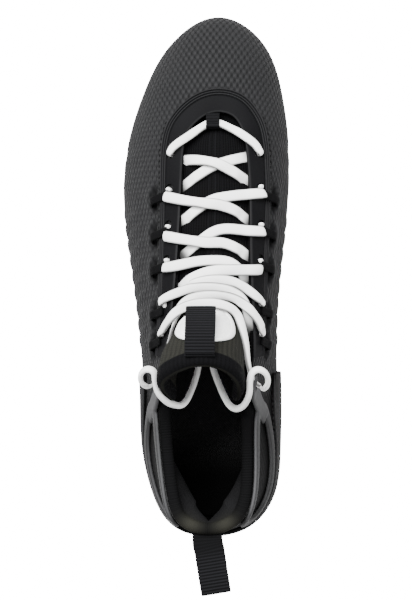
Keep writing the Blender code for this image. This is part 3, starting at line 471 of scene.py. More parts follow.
# Ribbed meshes, with the pitch and depth of their ribs in millimetres
Ribbed = namedtuple("Ribbed", "name pitch depth")
RIBBED = (Ribbed("tongue", 1.5, 0.3), Ribbed("roll", 1.2, 0.2))
LINING_WEAVE = 1.5 * MM
COUNTER_SCALES = (2.2 * MM, 3.4 * MM)
TONGUE_WEAVE = 1.6 * MM

# Floor, with the light that the camera sees from it, and lights in metres
WHITE = (1.0, 1.0, 1.0, 1.0)
FLOOR_GLOW = 16.0
FLOOR_SIZE = 3.0
FLOOR_BELOW = 0.05 * MM
Light = namedtuple("Light", "name size place")
LIGHTS = (
    Light("key", (1.2, 1.2), (-0.45, 0.95, 1.4)),
    Light("left", (0.8, 1.6), (-1.3, 0.0, 0.9)),
    Light("right", (0.8, 1.6), (1.3, -0.1, 0.9)),
)
LIGHT_TARGET = Vector((0.0, 0.0, 0.05))
CAMERA_TARGET_Z = 0.04

# Samples of the fine meshes
COLUMNS = 24
UPPER_INNER_ROWS = 26
RIM_STEPS = 5


def length_property(name, description, default):
    return bpy.props.FloatProperty(
        name=name, description=description, default=default, min=0.0, subtype="DISTANCE", unit="LENGTH")


def colour_property(name, description, default):
    return bpy.props.FloatVectorProperty(
        name=name, description=description, default=default, size=3, min=0.0, max=1.0, subtype="COLOR")


def power_property(name, description, default):
    return bpy.props.FloatProperty(
        name=name, description=description, default=default, min=0.0, unit="POWER")


class CleatSizes(bpy.types.PropertyGroup):
    """Sizes of the soft parts."""

    wall: length_property("Upper wall", "Thickness of the textile over the foot", 2.2 * MM)
    collar_pad: length_property("Collar pad", "Thickness of the padded collar", 6.5 * MM)
    tongue_wall: length_property("Tongue wall", "Thickness of the padded tongue", 5.0 * MM)
    scale_across: length_property("Scale width", "Width of one embossed scale of the textile", 3.4 * MM)
    scale_along: length_property("Scale length", "Length of one embossed scale of the textile", 5.9 * MM)
    webbing: length_property("Webbing wall", "Thickness of the pull loops", 1.4 * MM)
    pull_width: length_property("Pull loop width", "Width of the pull loops", 16.0 * MM)
    rib: length_property("Webbing rib", "Distance between two ribs of the webbing", 1.7 * MM)
    lace_width: length_property("Lace width", "Width of the flat lace", 6.2 * MM)
    lace_wall: length_property("Lace wall", "Thickness of the flat lace", 2.8 * MM)
    stitch: length_property("Stitch", "Length of one stitch", 1.7 * MM)


class CleatColours(bpy.types.PropertyGroup):
    """Colours of the finishes."""

    textile: colour_property("Textile", "Ground of the embossed textile", (0.0087, 0.0088, 0.0093))
    facet: colour_property("Scales", "Raised scales of the textile", (0.0136, 0.0136, 0.0143))
    film: colour_property("Eyestay film", "Welded film round the throat", (0.004, 0.004, 0.0044))
    counter: colour_property("Counter film", "Welded film round the heel", (0.0013, 0.0013, 0.0014))
    # Colour of the welded beads; it also serves as painted highlight on the eyestay's ridges, its throat
    # edge and the counter's edge bead
    piping: colour_property("Piping", "Welded beads and edges", (0.019, 0.019, 0.0197))
    lining: colour_property("Lining", "Mesh inside the shoe", (0.0022, 0.0022, 0.0024))
    heel_pad: colour_property("Heel pads", "Pads inside the collar", (0.0063, 0.0063, 0.0067))
    # Olive of the heel pads' corners, made lighter as painted highlight
    heel_corner: colour_property("Heel corners", "Highlighted corners of the heel pads", (0.0155, 0.0153, 0.0124))
    tongue: colour_property("Tongue", "Ribbed mesh of the tongue", (0.0092, 0.0092, 0.0077))
    roll: colour_property("Tongue roll", "Padded edge of the tongue", (0.0015, 0.0015, 0.0018))
    cage: colour_property("Cage", "Moulded collar cage", (0.024, 0.024, 0.0248))
    badge: colour_property("Badge", "Round patch on the tongue", (0.85, 0.85, 0.84))
    webbing: colour_property("Webbing", "Pull loops and lace loops", (0.0013, 0.0013, 0.0015))
    lace: colour_property("Lace", "Flat lace", (0.92, 0.92, 0.91))
    plate: colour_property("Plate", "Moulded sole plate and studs", (0.004, 0.004, 0.0043))
    footbed: colour_property("Footbed", "Top of the insole", (0.02, 0.02, 0.0206))
    thread: colour_property("Thread", "Sewing thread", (0.007, 0.007, 0.0073))
    floor: colour_property("Floor", "Plain pale floor", (0.5, 0.5, 0.5))


class CleatStage(bpy.types.PropertyGroup):
    """Camera and light."""

    height: length_property("Camera height", "Height of the camera over the floor", 1.54)
    side: length_property("Camera side", "How far the camera stands off the shoe's middle", 0.061)
    frame_length: length_property("Frame length", "Length that the picture's height covers", 0.343)
    key_power: power_property("Key light", "Power of the large light overhead", 112.0)
    left_power: power_property("Left light", "Power of the light at the left", 4.0)
    right_power: power_property("Right light", "Power of the light at the right", 17.0)
    sky: bpy.props.FloatProperty(
        name="Sky", description="Strength of the even light from all round", default=1.2, min=0.0)


def sizes():
    return bpy.context.scene.cleat_sizes


# Small helpers for numbers

def smooth(low, high, value):
    share = np.clip((value - low) / (high - low), 0.0, 1.0)
    return share * share * (3.0 - 2.0 * share)


def window(value, band):
    """1 inside a band with soft ends: where it starts, is full, begins to end and ends."""
    start, full, fade, end = band
    return smooth(start, full, value) * (1.0 - smooth(fade, end, value))


def bump(value, width):
    """Bell of height 1 and the given half width."""
    return np.exp(-(value / width) ** 2)


def unit(vectors):
    vectors = np.asarray(vectors, dtype=float)
    return vectors / np.maximum(np.linalg.norm(vectors, axis=-1, keepdims=True), 1e-9)


def lengths_along(points):
    steps = np.linalg.norm(np.diff(points, axis=0), axis=-1)
    return np.concatenate(([0.0], np.cumsum(steps)))


def at_lengths(points, reach, steps):
    """Points of a line at distances along it."""
    return np.stack([np.interp(steps, reach, values) for values in points.T], axis=-1)


def even_points(points, count):
    """Evenly spaced points along a line."""
    reach = lengths_along(points)
    return at_lengths(points, reach, np.linspace(0.0, reach[-1], count))


def circle_turns(count):
    return np.linspace(0.0, 2.0 * math.pi, count, endpoint=False)


def refine(points, factor):
    """Catmull-Rom points between the rows of a table, evenly in its index."""
    knots = np.asarray(points, dtype=float)
    ends = np.concatenate((2 * knots[:1] - knots[1:2], knots, 2 * knots[-1:] - knots[-2:-1]))
    fine = []
    for a, b, c, d in zip(ends, ends[1:], ends[2:], ends[3:]):
        for t in np.linspace(0.0, 1.0, factor, endpoint=False):
            fine.append(0.5 * (2 * b + (c - a) * t + (2 * a - 5 * b + 4 * c - d) * t * t
                               + (3 * b - a - 3 * c + d) * t ** 3))
    fine.append(knots[-1])
    return np.array(fine)


def curve_through(points, step):
    """Points on a smooth curve through a short list, about one step apart."""
    fine = refine(points, 16)
    return even_points(fine, 2 + int(lengths_along(fine)[-1] / step))


# Last

def ring_table():
    rows = []
    for index in range(RING):
        row = LAST[min(index, RING - index)]
        outer = index <= TOE
        rows.append((
            row.lateral if outer else row.medial, row.y, row.inset, row.feather, row.plate, row.lip,
            row.top_lateral if outer else row.top_medial, row.top_y, row.top_z,
            row.rise, row.reach, row.drop,
        ))
    return np.array(rows) * MM


def spline_weights(values):
    """Coefficients of the closed cubic spline through the rows of a table."""
    count = len(values)
    blend = np.zeros((count, count))
    for index in range(count):
        blend[index, index] = 4.0 / 6.0
        blend[index, (index - 1) % count] = 1.0 / 6.0
        blend[index, (index + 1) % count] = 1.0 / 6.0
    return np.linalg.solve(blend, values)


COEFFICIENTS = spline_weights(ring_table())
COLUMN_CACHE = {}
BEZIER_STEPS = np.linspace(0.0, 1.0, 121)
Column = namedtuple("Column", "line length feather out plate lip toward")


def spline_value(weights, place):
    base = math.floor(place)
    t = place - base
    basis = np.array([(1 - t) ** 3, 3 * t ** 3 - 6 * t * t + 4, -3 * t ** 3 + 3 * t * t + 3 * t + 1, t ** 3])
    slope = np.array([-3 * (1 - t) ** 2, 9 * t * t - 12 * t, -9 * t * t + 6 * t + 3, 3 * t * t])
    rows = weights[[(base + step) % len(weights) for step in (-1, 0, 1, 2)]]
    return basis @ rows / 6.0, slope @ rows / 6.0


def column(place):
    """Wall of the upper at one place: its line from feather edge to top edge.

    Its lower handle moves until the widest point of the line lies on the outline.
    """
    key = round(float(place) % RING, 5)
    if key in COLUMN_CACHE:
        return COLUMN_CACHE[key]
    value, change = spline_value(COEFFICIENTS, key)
    edge = value[0:2]
    inset, feather_z, plate_z, lip = value[2:6]
    top = value[6:9]
    rise, reach, drop = value[9:12]
    out = unit(np.array([-change[1], change[0]]))
    toward = unit(edge - top[:2])
    foot = np.array([*(edge - out * inset), feather_z])
    upper_handle = np.array([*(top[:2] + toward * reach), top[2] - drop])
    t = BEZIER_STEPS[:, None]
    flare = FLARE_START
    for _ in range(FLARE_ROUNDS):
        lower_handle = np.array([*(edge + out * flare), feather_z + rise])
        line = ((1 - t) ** 3 * foot + 3 * t * (1 - t) ** 2 * lower_handle
                + 3 * t * t * (1 - t) * upper_handle + t ** 3 * top)
        flare -= np.max((line[:, :2] - edge) @ out) / FLARE_SHARE
    COLUMN_CACHE[key] = Column(line, lengths_along(line), foot, out, plate_z, lip, toward)
    return COLUMN_CACHE[key]


def girth(place):
    return column(place).length[-1]


def wall_line(place, insets):
    """Points of the wall at one place, at distances below its top edge; negative ones stand over it."""
    wall = column(place)
    insets = np.asarray(insets, dtype=float)
    reach = wall.length[-1] - insets
    points = at_lengths(wall.line, wall.length, reach)
    points[..., 2] += np.maximum(-insets, 0.0)
    return points


def wall_grid(places, insets):
    """Points and outward normals of the wall; insets has a row of distances for each place."""
    clipped = np.maximum(insets, 0.0)
    low = clipped + NORMAL_STEP
    high = np.maximum(low - 2.0 * NORMAL_STEP, 0.0)
    points = np.array([wall_line(place, row) for place, row in zip(places, insets)])
    up = np.array([wall_line(place, b) - wall_line(place, a) for place, a, b in zip(places, low, high)])
    along = np.array([wall_line(place + PLACE_STEP, row) - wall_line(place - PLACE_STEP, row)
                      for place, row in zip(places, clipped)])
    return points, unit(np.cross(up, along))


def over_wall(place, inset, height):
    """Point at a height over the wall, and the normal there."""
    points, normals = wall_grid([place], np.array([[inset]]))
    return points[0, 0] + normals[0, 0] * height, normals[0, 0]


def place_of(section, medial):
    return RING - section if medial else section


def section_of(place):
    return np.minimum(place % RING, RING - place % RING)


def inset_of(place, share):
    return (1.0 - share) * girth(place)


def wall_at(place, share):
    """Thickness of the wall: thin over the foot, padded at the collar."""
    pad = (1.0 - smooth(*COLLAR_PAD_FRONT, section_of(place))) * smooth(*COLLAR_PAD_RISE, share)
    return sizes().wall + (sizes().collar_pad - sizes().wall) * pad


def place_at_row(row_y, medial):
    """Place on the ring whose top edge lies at this y."""
    sections = np.linspace(EYESTAY_END, TOE, 120)
    ys = [column(section).line[-1][1] for section in sections]
    return place_of(float(np.interp(row_y, ys, sections)), medial)


# Meshes

Patch = namedtuple("Patch", "points map finish closed wrap caps")


def patch(points, map_points=None, finish=0, closed=True, wrap=False, caps=True):
    """Grid of points; closed joins its columns, wrap its rows, and caps fill both ends."""
    capped = caps and closed and not wrap
    return Patch(np.asarray(points, dtype=float), map_points, finish, closed, wrap, capped)


def tube_map(points):
    """Map of a tube: distance round it and distance along it."""
    ring = np.concatenate((points, points[:, :1]), axis=1)
    around = np.concatenate((np.zeros((len(ring), 1)), np.cumsum(
        np.linalg.norm(np.diff(ring, axis=1), axis=2), axis=1)), axis=1)
    along = lengths_along(points.mean(axis=1))
    return np.stack((around, np.broadcast_to(along[:, None], around.shape)), axis=2)


def faces_of(item):
    """Quads of a patch with the map at their corners and their finishes."""
    rows, count = item.points.shape[:2]
    wide = count if item.closed else count - 1
    tall = rows if item.wrap else rows - 1
    row, step = np.meshgrid(np.arange(tall), np.arange(wide), indexing="ij")
    after = (row + 1) % rows
    beside = (step + 1) % count
    quads = np.stack((row * count + step, after * count + step, after * count + beside,
                      row * count + beside), axis=-1).reshape(-1, 4)
    chart = item.map if item.map is not None else tube_map(item.points)
    if chart.shape[1] == count:
        right = beside
    else:
        right = step + 1
    corners = [chart[row, step], chart[after, step], chart[after, right], chart[row, right]]
    finish = np.broadcast_to(np.asarray(item.finish), (tall,))
    return quads, np.stack(corners, axis=2).reshape(-1, 4, 2), np.repeat(finish, wide)


def is_inside_out(points, quads):
    a, b, c, d = (points[quads[:, corner]] for corner in range(4))
    volume = np.sum(a * np.cross(b, c)) + np.sum(a * np.cross(c, d))
    return volume < 0.0


def make_mesh(name, patches, finishes, marks=None):
    """Mesh of several patches with its map, finishes and named marks."""
    verts, faces, corners, used = [], [], [], []
    base = 0
    for item in patches:
        points = item.points.reshape(-1, 3)
        quads, chart, finish = faces_of(item)
        centred = points - points.mean(axis=0)
        ends = []
        if item.caps:
            count = item.points.shape[1]
            ends = [list(range(count)), list(range(len(points) - 1, len(points) - count - 1, -1))]
        if is_inside_out(centred, quads):
            quads = quads[:, ::-1]
            chart = chart[:, ::-1]
            ends = [end[::-1] for end in ends]
        verts.append(points)
        faces += (quads + base).tolist()
        corners.append(chart.reshape(-1, 2))
        used.append(finish)
        for end in ends:
            faces.append([base + index for index in end])
            corners.append(np.zeros((len(end), 2)))
            used.append([finish[0]])
        base += len(points)
    verts = np.concatenate(verts)
    mesh = bpy.data.meshes.new(name)
    mesh.from_pydata(verts.tolist(), [], faces)
    layer = mesh.uv_layers.new(name="map")
    layer.uv.foreach_set("vector", np.concatenate(corners).astype(np.float32).ravel())
    for finish in finishes:
        mesh.materials.append(bpy.data.materials["cleat_" + finish])
    mesh.polygons.foreach_set("material_index", np.concatenate(used).astype(np.int32))
    for mark, values in (marks or {}).items():
        attribute = mesh.attributes.new(mark, "FLOAT", "POINT")
        attribute.data.foreach_set("value", np.asarray(values, dtype=np.float32).ravel())
    mesh.shade_smooth()
    return mesh


def new_object(name, data):
    """Object in the scene for a mesh, a light or a camera."""
    item = bpy.data.objects.new(name, data)
    bpy.context.scene.collection.objects.link(item)
    return item


def add_piece(name, mesh, slot, *nodes):
    """Piece of the shoe that stands for CAD nodes."""
    piece = new_object("cleat_" + name, mesh)
    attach(piece, "root")
    if nodes:
        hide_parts(*nodes)
    return piece


def settle(piece):
    """Apply a piece's modifiers to its mesh."""
    bpy.context.view_layer.update()
    graph = bpy.context.evaluated_depsgraph_get()
    mesh = bpy.data.meshes.new_from_object(piece.evaluated_get(graph))
    piece.modifiers.clear()
    piece.data = mesh


def combine(piece, mesh, operation):
    """Boolean of a piece with a mesh that is used up."""
    tool = new_object("tool", mesh)
    change = piece.modifiers.new(operation.lower(), "BOOLEAN")
    change.operation = operation
    change.solver = "EXACT"
    change.object = tool
    settle(piece)
    bpy.data.objects.remove(tool)


def tree_of(*names):
    """Search tree over the faces of pieces."""
    verts = []
    polygons = []
    for name in names:
        mesh = bpy.data.objects["cleat_" + name].data
        base = len(verts)
        verts.extend(vert.co.copy() for vert in mesh.vertices)
        polygons.extend([base + index for index in face.vertices] for face in mesh.polygons)
    return BVHTree.FromPolygons(verts, polygons)


def sweep(points, ups, profile):
    """Rings of a profile along a path; its second axis follows the ups."""
    points = np.asarray(points, dtype=float)
    forward = unit(np.gradient(points, axis=0))
    side = unit(np.cross(forward, ups))
    over = np.cross(side, forward)
    profile = np.broadcast_to(profile, (len(points), *np.shape(profile)[-2:]))
    return points[:, None] + side[:, None] * profile[..., :1] + over[:, None] * profile[..., 1:]


def sweep_closed(points, ups, profile):
    around = np.concatenate((points[-2:], points, points[:2]))
    wide = np.concatenate((ups[-2:], ups, ups[:2]))
    return sweep(around, wide, profile)[2:-2]


def flat_oval(width, wall, sides=20, power=2.6):
    """Outline of a flat lace or band with round edges."""
    turn = circle_turns(sides)
    a = np.sign(np.cos(turn)) * np.abs(np.cos(turn)) ** (2.0 / power)
    b = np.sign(np.sin(turn)) * np.abs(np.sin(turn)) ** (2.0 / power)
    return np.stack((0.5 * width * a, 0.5 * wall * b), axis=1)


def cylinder(centre, normal, radius, depth, sides=20):
    work = bmesh.new()
    turn = Vector(normal).to_track_quat("Z", "Y").to_matrix().to_4x4()
    spot = Matrix.Translation(Vector(centre)) @ turn
    bmesh.ops.create_cone(work, cap_ends=True, segments=sides, radius1=radius, radius2=radius,
                          depth=depth, matrix=spot)
    return work


def mesh_from(works, name):
    """One mesh from several bmesh shapes."""
    whole = bmesh.new()
    for work in works:
        part = bpy.data.meshes.new("part")
        work.to_mesh(part)
        work.free()
        whole.from_mesh(part)
        bpy.data.meshes.remove(part)
    mesh = bpy.data.meshes.new(name)
    whole.to_mesh(mesh)
    whole.free()
    return mesh


def overlay(places, insets, lift, wall, edge, relief=0.0):
    """Film over the wall: one closed loop of points for each place, with round edges.

    insets has a row of distances below the top edge for each place; edge is the width of the rounding, and
    relief is what is added to the film's height.
    """
    points, normals = wall_grid(places, insets)
    reach = np.abs(insets - insets[:, :1])
    margin = np.minimum(reach, reach[:, -1:] - reach)
    height = lift + wall * np.sqrt(np.clip(1.0 - (1.0 - np.clip(margin / edge, 0.0, 1.0)) ** 2, 0.05, 1.0))
    top = points + normals * (height + relief)[..., None]
    under = points + normals * lift
    loops = np.concatenate((top, under[:, ::-1]), axis=1)
    along = lengths_along(points[:, points.shape[1] // 2])
    chart = np.stack((np.concatenate((insets, insets[:, ::-1]), axis=1),
                      np.broadcast_to(along[:, None], (len(loops), loops.shape[1]))), axis=2)
    return loops, chart


def stitch_row(points, normals, length):
    """Short threads along a path, as patches."""
    reach = lengths_along(points)
    patches = []
    profile = flat_oval(2.0 * STITCH_RADIUS, 2.0 * STITCH_RADIUS, 6, 2.0)
    arch = STITCH_ARCH * STITCH_RADIUS
    start = 0.5 * STITCH_GAP
    while start + length < reach[-1]:
        steps = start + np.linspace(0.0, length, len(STITCH_ARCH))
        line = at_lengths(points, reach, steps)
        up = at_lengths(normals, reach, steps)
        rings = sweep(line + unit(up) * arch[:, None], up, profile * STITCH_SWELL[:, None, None])
        patches.append(patch(rings))
        start += length + STITCH_GAP
    return patches


# Finishes

class Shader:
    """Short calls that add nodes to one shader tree and link them."""

    def __init__(self, tree):
        self.nodes = tree.nodes
        self.links = tree.links

    def put(self, socket, value):
        if isinstance(value, bpy.types.NodeSocket):
            self.links.new(value, socket)
        else:
            socket.default_value = value

    def finish(self, label, value):
        self.put(self.nodes["Principled BSDF"].inputs[label], value)

    def add(self, kind, **values):
        node = self.nodes.new("ShaderNode" + kind)
        for name, value in values.items():
            self.put(node.inputs[name.replace("_", " ")], value)
        return node

    def math(self, operation, *values):
        node = self.nodes.new("ShaderNodeMath")
        node.operation = operation
        for socket, value in zip(node.inputs, values):
            self.put(socket, value)
        return node.outputs["Value"]

    def blend(self, factor, first, second):
        node = self.nodes.new("ShaderNodeMix")
        node.data_type = "RGBA"
        self.put(node.inputs[0], factor)
        self.put(node.inputs[6], first)
        self.put(node.inputs[7], second)
        return node.outputs[2]

    def spread(self, value, low, high, start, end):
        node = self.add("MapRange", Value=value, From_Min=low, From_Max=high, To_Min=start, To_Max=end)
        return node.outputs["Result"]

    def chart(self):
        node = self.nodes.new("ShaderNodeUVMap")
        node.uv_map = "map"
        return node.outputs["UV"]

    def spot(self):
        return self.nodes.new("ShaderNodeTexCoord").outputs["Object"]

    def mark(self, name):
        node = self.nodes.new("ShaderNodeAttribute")
        node.attribute_name = name
        return node.outputs["Fac"]

    def group(self, name, **values):
        node = self.nodes.new("ShaderNodeGroup")
        node.node_tree = bpy.data.node_groups[name]
        for label, value in values.items():
            self.put(node.inputs[label.replace("_", " ")], value)
        return node.outputs

    def raise_surface(self, height, distance, strength=1.0, below=None):
        node = self.add("Bump", Height=height, Distance=distance, Strength=strength)
        if below is not None:
            self.put(node.inputs["Normal"], below)
        return node.outputs["Normal"]


def tint(colour, share=1.0):
    """A colour, darker or lighter by a share, as a shader takes it."""
    return (*(min(1.0, part * share) for part in colour[:3]), 1.0)


def make_group(name, inputs, outputs, fill):
    """Shader node group with named sockets."""
    group = bpy.data.node_groups.new(name, "ShaderNodeTree")
    for label, kind, value in inputs:
        socket = group.interface.new_socket(label, in_out="INPUT", socket_type="NodeSocket" + kind)
        if value is not None:
            socket.default_value = value
    for label in outputs:
        group.interface.new_socket(label, in_out="OUTPUT", socket_type="NodeSocketFloat")
    start = group.nodes.new("NodeGroupInput")
    end = group.nodes.new("NodeGroupOutput")
    shader = Shader(group)
    for label, value in fill(shader, start.outputs).items():
        shader.put(end.inputs[label], value)


def fill_scales(shader, given):
    """Staggered lattice of long raised scales."""
    spot = shader.add("SeparateXYZ", Vector=given["Vector"])
    across = shader.math("DIVIDE", spot.outputs["X"], given["Across"])
    along = shader.math("DIVIDE", spot.outputs["Y"], given["Along"])
    first = shader.math("FRACT", shader.math("ADD", across, along))
    second = shader.math("FRACT", shader.math("SUBTRACT", across, along))
    rise = [shader.math("SINE", shader.math("MULTIPLY", side, math.pi)) for side in (first, second)]
    dome = shader.math("POWER", shader.math("MULTIPLY", *rise), 0.6)
    dashes = []
    for wave in ("COSINE", "SINE"):
        narrow, long = (shader.math("ABSOLUTE", shader.math(wave, shader.math("MULTIPLY", side, math.pi)))
                        for side in (across, along))
        thin, tall = shader.math("POWER", narrow, 9.0), shader.math("POWER", long, 1.6)
        dashes.append(shader.math("MULTIPLY", thin, tall))
    pit = shader.math("ADD", *dashes)
    height = shader.math("SUBTRACT", dome, pit)
    return {"Height": height, "Facet": dome, "Pit": pit}


def fill_weave(shader, given):
    """Threads that pass over and under each other."""
    spot = shader.add("SeparateXYZ", Vector=given["Vector"])
    across = shader.math("DIVIDE", spot.outputs["X"], given["Across"])
    along = shader.math("DIVIDE", spot.outputs["Y"], given["Along"])
    waves = [shader.math("SINE", shader.math("MULTIPLY", side, 2.0 * math.pi)) for side in (across, along)]
    cross = shader.math("MULTIPLY", *waves)
    return {"Height": shader.math("MULTIPLY_ADD", cross, 0.5, 0.5)}


def fill_ribs(shader, given):
    """Round ribs side by side."""
    turn = shader.math("FRACT", shader.math("DIVIDE", given["Distance"], given["Pitch"]))
    rise = shader.math("SINE", shader.math("MULTIPLY", turn, math.pi))
    return {"Height": shader.math("POWER", rise, 0.7)}


def fill_grain(shader, given):
    """Fine fibres and a slow change of tone."""
    fine = shader.add("TexNoise", Vector=given["Vector"], Scale=given["Scale"], Detail=3.0, Roughness=0.6)
    slow = shader.add("TexNoise", Vector=given["Vector"], Scale=38.0, Detail=2.0, Roughness=0.5)
    tone = shader.math("ADD", shader.math("MULTIPLY", fine.outputs["Fac"], 0.5),
                       shader.math("MULTIPLY", slow.outputs["Fac"], 0.5))
    return {"Height": fine.outputs["Fac"], "Tone": shader.spread(tone, 0.35, 0.65, 0.0, 1.0)}


def make_groups():
    place = ("Vector", "Vector", None)
    make_group("Cleat Scales", (place, ("Across", "Float", 0.003), ("Along", "Float", 0.005)),
               ("Height", "Facet", "Pit"), fill_scales)
    make_group("Cleat Weave", (place, ("Across", "Float", 0.001), ("Along", "Float", 0.001)),
               ("Height",), fill_weave)
    make_group("Cleat Ribs", (("Distance", "Float", 0.0), ("Pitch", "Float", 0.001)), ("Height",), fill_ribs)
    make_group("Cleat Grain", (place, ("Scale", "Float", 900.0)), ("Height", "Tone"), fill_grain)


def new_finish(name, roughness, specular, **constants):
    """Shader of a new material, with the values that are the same all over it."""
    material = bpy.data.materials.new("cleat_" + name)
    material.use_nodes = True
    shader = Shader(material.node_tree)
    constants.update(Roughness=roughness, Specular_IOR_Level=specular)
    for label, value in constants.items():
        shader.finish(label.replace("_", " "), value)
    return shader


def toned(shader, colour, spread, grain):
    """Colour that changes a little with the grain."""
    return shader.blend(grain["Tone"], tint(colour, 1.0 - spread), tint(colour, 1.0 + spread))


def textile_finish(colours):
    shader = new_finish("textile", roughness=0.7, specular=0.07, Sheen_Weight=0.022, Sheen_Roughness=0.35)
    chart = shader.chart()
    across, along = sizes().scale_across, sizes().scale_along
    scales = shader.group("Cleat Scales", Vector=chart, Across=across, Along=along)
    grain = shader.group("Cleat Grain", Vector=chart, Scale=1500.0)
    scaled = shader.blend(scales["Facet"], tint(colours.textile), tint(colours.facet))
    base = shader.blend(scales["Pit"], scaled, tint(colours.textile, 0.5))
    wear_and_highlight = shader.blend(shader.math("MULTIPLY", grain["Tone"], 0.3), base, tint(colours.facet, 1.2))
    rim = shader.blend(shader.mark("rim"), wear_and_highlight, tint(colours.webbing))
    # The slot mark paints shade into the lace loops' slots and darkens the textile towards the heel
    dark = shader.blend(shader.mark("slot"), rim, tint(colours.lining, 0.5))
    shader.finish("Base Color", dark)
    flat = shader.math("SUBTRACT", 1.0, shader.math("MAXIMUM", shader.mark("rim"), shader.mark("slot")))
    normal = shader.raise_surface(shader.math("MULTIPLY", scales["Height"], flat), 0.45 * MM)
    shader.finish("Normal", shader.raise_surface(grain["Height"], 0.06 * MM, 0.6, normal))
    shader.finish("Roughness", shader.spread(scales["Facet"], 0.0, 1.0, 0.85, 0.65))


def lining_finish(name, colour, pads, corners, roughness):
    shader = new_finish(name, roughness, specular=0.04)
    chart = shader.chart()
    weave = shader.group("Cleat Weave", Vector=chart, Across=LINING_WEAVE, Along=LINING_WEAVE)
    grain = shader.group("Cleat Grain", Vector=chart, Scale=900.0)
    base = shader.blend(weave["Height"], tint(colour, 0.75), tint(colour, 1.3))
    # On the footbed the pad colour is painted shade towards the heel
    padded = shader.blend(grain["Tone"], tint(pads, 0.6), tint(pads, 1.4))
    base = shader.blend(shader.mark("pad"), base, padded)
    # Olive corners of the heel pads, lighter as painted highlight
    base = shader.blend(shader.mark("corner"), base, tint(corners))
    shader.finish("Base Color", base)
    height = shader.math("ADD", weave["Height"], shader.math("MULTIPLY", grain["Height"], 0.6))
    shader.finish("Normal", shader.raise_surface(height, 0.16 * MM))


def film_finish(film, colour, line):
    """Smooth welded film or moulded plastic with a fine skin and lines of painted highlight."""
    shader = new_finish(film.name, film.roughness, film.specular)
    grain = shader.group("Cleat Grain", Vector=shader.spot(), Scale=film.scale)
    base = toned(shader, colour, 0.18, grain)
    # The line mark paints highlight in the colour of line
    shader.finish("Base Color", shader.blend(shader.mark("line"), base, tint(line)))
    gloss = shader.spread(grain["Tone"], 0.0, 1.0, film.roughness - 0.06, film.roughness + 0.06)
    shader.finish("Roughness", gloss)
    shader.finish("Normal", shader.raise_surface(grain["Height"], film.depth * MM, 0.7))


def counter_finish(colours):
    shader = new_finish("counter", roughness=0.5, specular=0.03)
    chart = shader.chart()
    across, along = COUNTER_SCALES
    scales = shader.group("Cleat Scales", Vector=chart, Across=across, Along=along)
    grain = shader.group("Cleat Grain", Vector=chart, Scale=1200.0)
    fade = shader.math("MULTIPLY", scales["Facet"], shader.mark("print"))
    base = shader.blend(fade, tint(colours.counter), tint(colours.piping, 1.2))
    shader.finish("Base Color", base)
    height = shader.math("MULTIPLY", scales["Height"], shader.mark("print"))
    normal = shader.raise_surface(height, 0.25 * MM)
    shader.finish("Normal", shader.raise_surface(grain["Height"], 0.04 * MM, 0.6, normal))


def tongue_finish(cloth, colour, below):
    """Ribbed mesh whose ribs run along the tongue; its lower part has the colour of below, with a painted
    highlight along the fold lines.
    """
    shader = new_finish(cloth.name, roughness=0.85, specular=0.05)
    chart = shader.chart()
    spot = shader.add("SeparateXYZ", Vector=chart)
    ribs = shader.group("Cleat Ribs", Distance=spot.outputs["X"], Pitch=cloth.pitch * MM)
    weave = shader.group("Cleat Weave", Vector=chart, Across=cloth.pitch * MM, Along=TONGUE_WEAVE)
    grain = shader.group("Cleat Grain", Vector=chart, Scale=1400.0)
    base = shader.blend(ribs["Height"], tint(colour, 0.55), tint(colour, 1.25))
    flecked = shader.blend(shader.math("MULTIPLY", grain["Tone"], 0.4), base, tint(colour, 1.7))
    dark, light, pale = (tint(below, share) for share in (0.6, 1.5, 3.0))
    lower = shader.blend(ribs["Height"], dark, light)
    whole = shader.blend(shader.mark("band"), flecked, lower)
    # The fold mark paints a highlight along the band's edges and down its middle
    shader.finish("Base Color", shader.blend(shader.mark("fold"), whole, pale))
    height = shader.math("ADD", ribs["Height"], shader.math("MULTIPLY", weave["Height"], 0.5))
    normal = shader.raise_surface(height, cloth.depth * MM)
    shader.finish("Normal", shader.raise_surface(grain["Height"], 0.05 * MM, 0.6, normal))


def thread_finish(thread, colour):
    """Woven thread of lace and webbing."""
    shader = new_finish(thread.name, thread.roughness, specular=0.06)
    chart = shader.chart()
    weave = shader.group("Cleat Weave", Vector=chart, Across=thread.across * MM, Along=thread.along * MM)
    grain = shader.group("Cleat Grain", Vector=chart, Scale=1800.0)
    threads = shader.blend(weave["Height"], tint(colour, 0.86), tint(colour, 1.05))
    # The rib mark paints a highlight on the tops of the webbing's ribs
    base = shader.blend(shader.mark("rib"), threads, tint(colour, 6.0))
    fibres = shader.blend(shader.math("MULTIPLY", grain["Tone"], 0.25), base, tint(colour, 0.8))
    # Painted shade along the lace's edges and painted shadow over its tucked ends
    edge_shade = shader.blend(shader.mark("edge"), fibres, tint(colour, 0.16))
    tuck_shadow = shader.blend(shader.mark("shadow"), edge_shade, tint(colour, 0.03))
    shader.finish("Base Color", tuck_shadow)
    height = shader.math("ADD", weave["Height"], shader.math("MULTIPLY", grain["Height"], 0.4))
    shader.finish("Normal", shader.raise_surface(height, 0.12 * MM, 0.8))


def cage_finish(colours):
    """Cloudy plastic with painted light: lighter at its edges and on its fin as painted highlight, darker
    along its lower bar as painted shade.
    """
    shader = new_finish("cage", roughness=0.45, specular=0.05)
    grain = shader.group("Cleat Grain", Vector=shader.spot(), Scale=500.0)
    thick, cloud, thin = (tint(colours.cage, share) for share in (0.55, 0.6, 2.4))
    # The thin mark is painted light: its light copy is painted highlight, its dark copy painted shade
    base = shader.blend(shader.mark("thin"), thick, thin)
    cloudy = shader.blend(shader.math("MULTIPLY", grain["Tone"], 0.3), base, cloud)
    shader.finish("Base Color", cloudy)
    shader.finish("Normal", shader.raise_surface(grain["Height"], 0.03 * MM, 0.5))


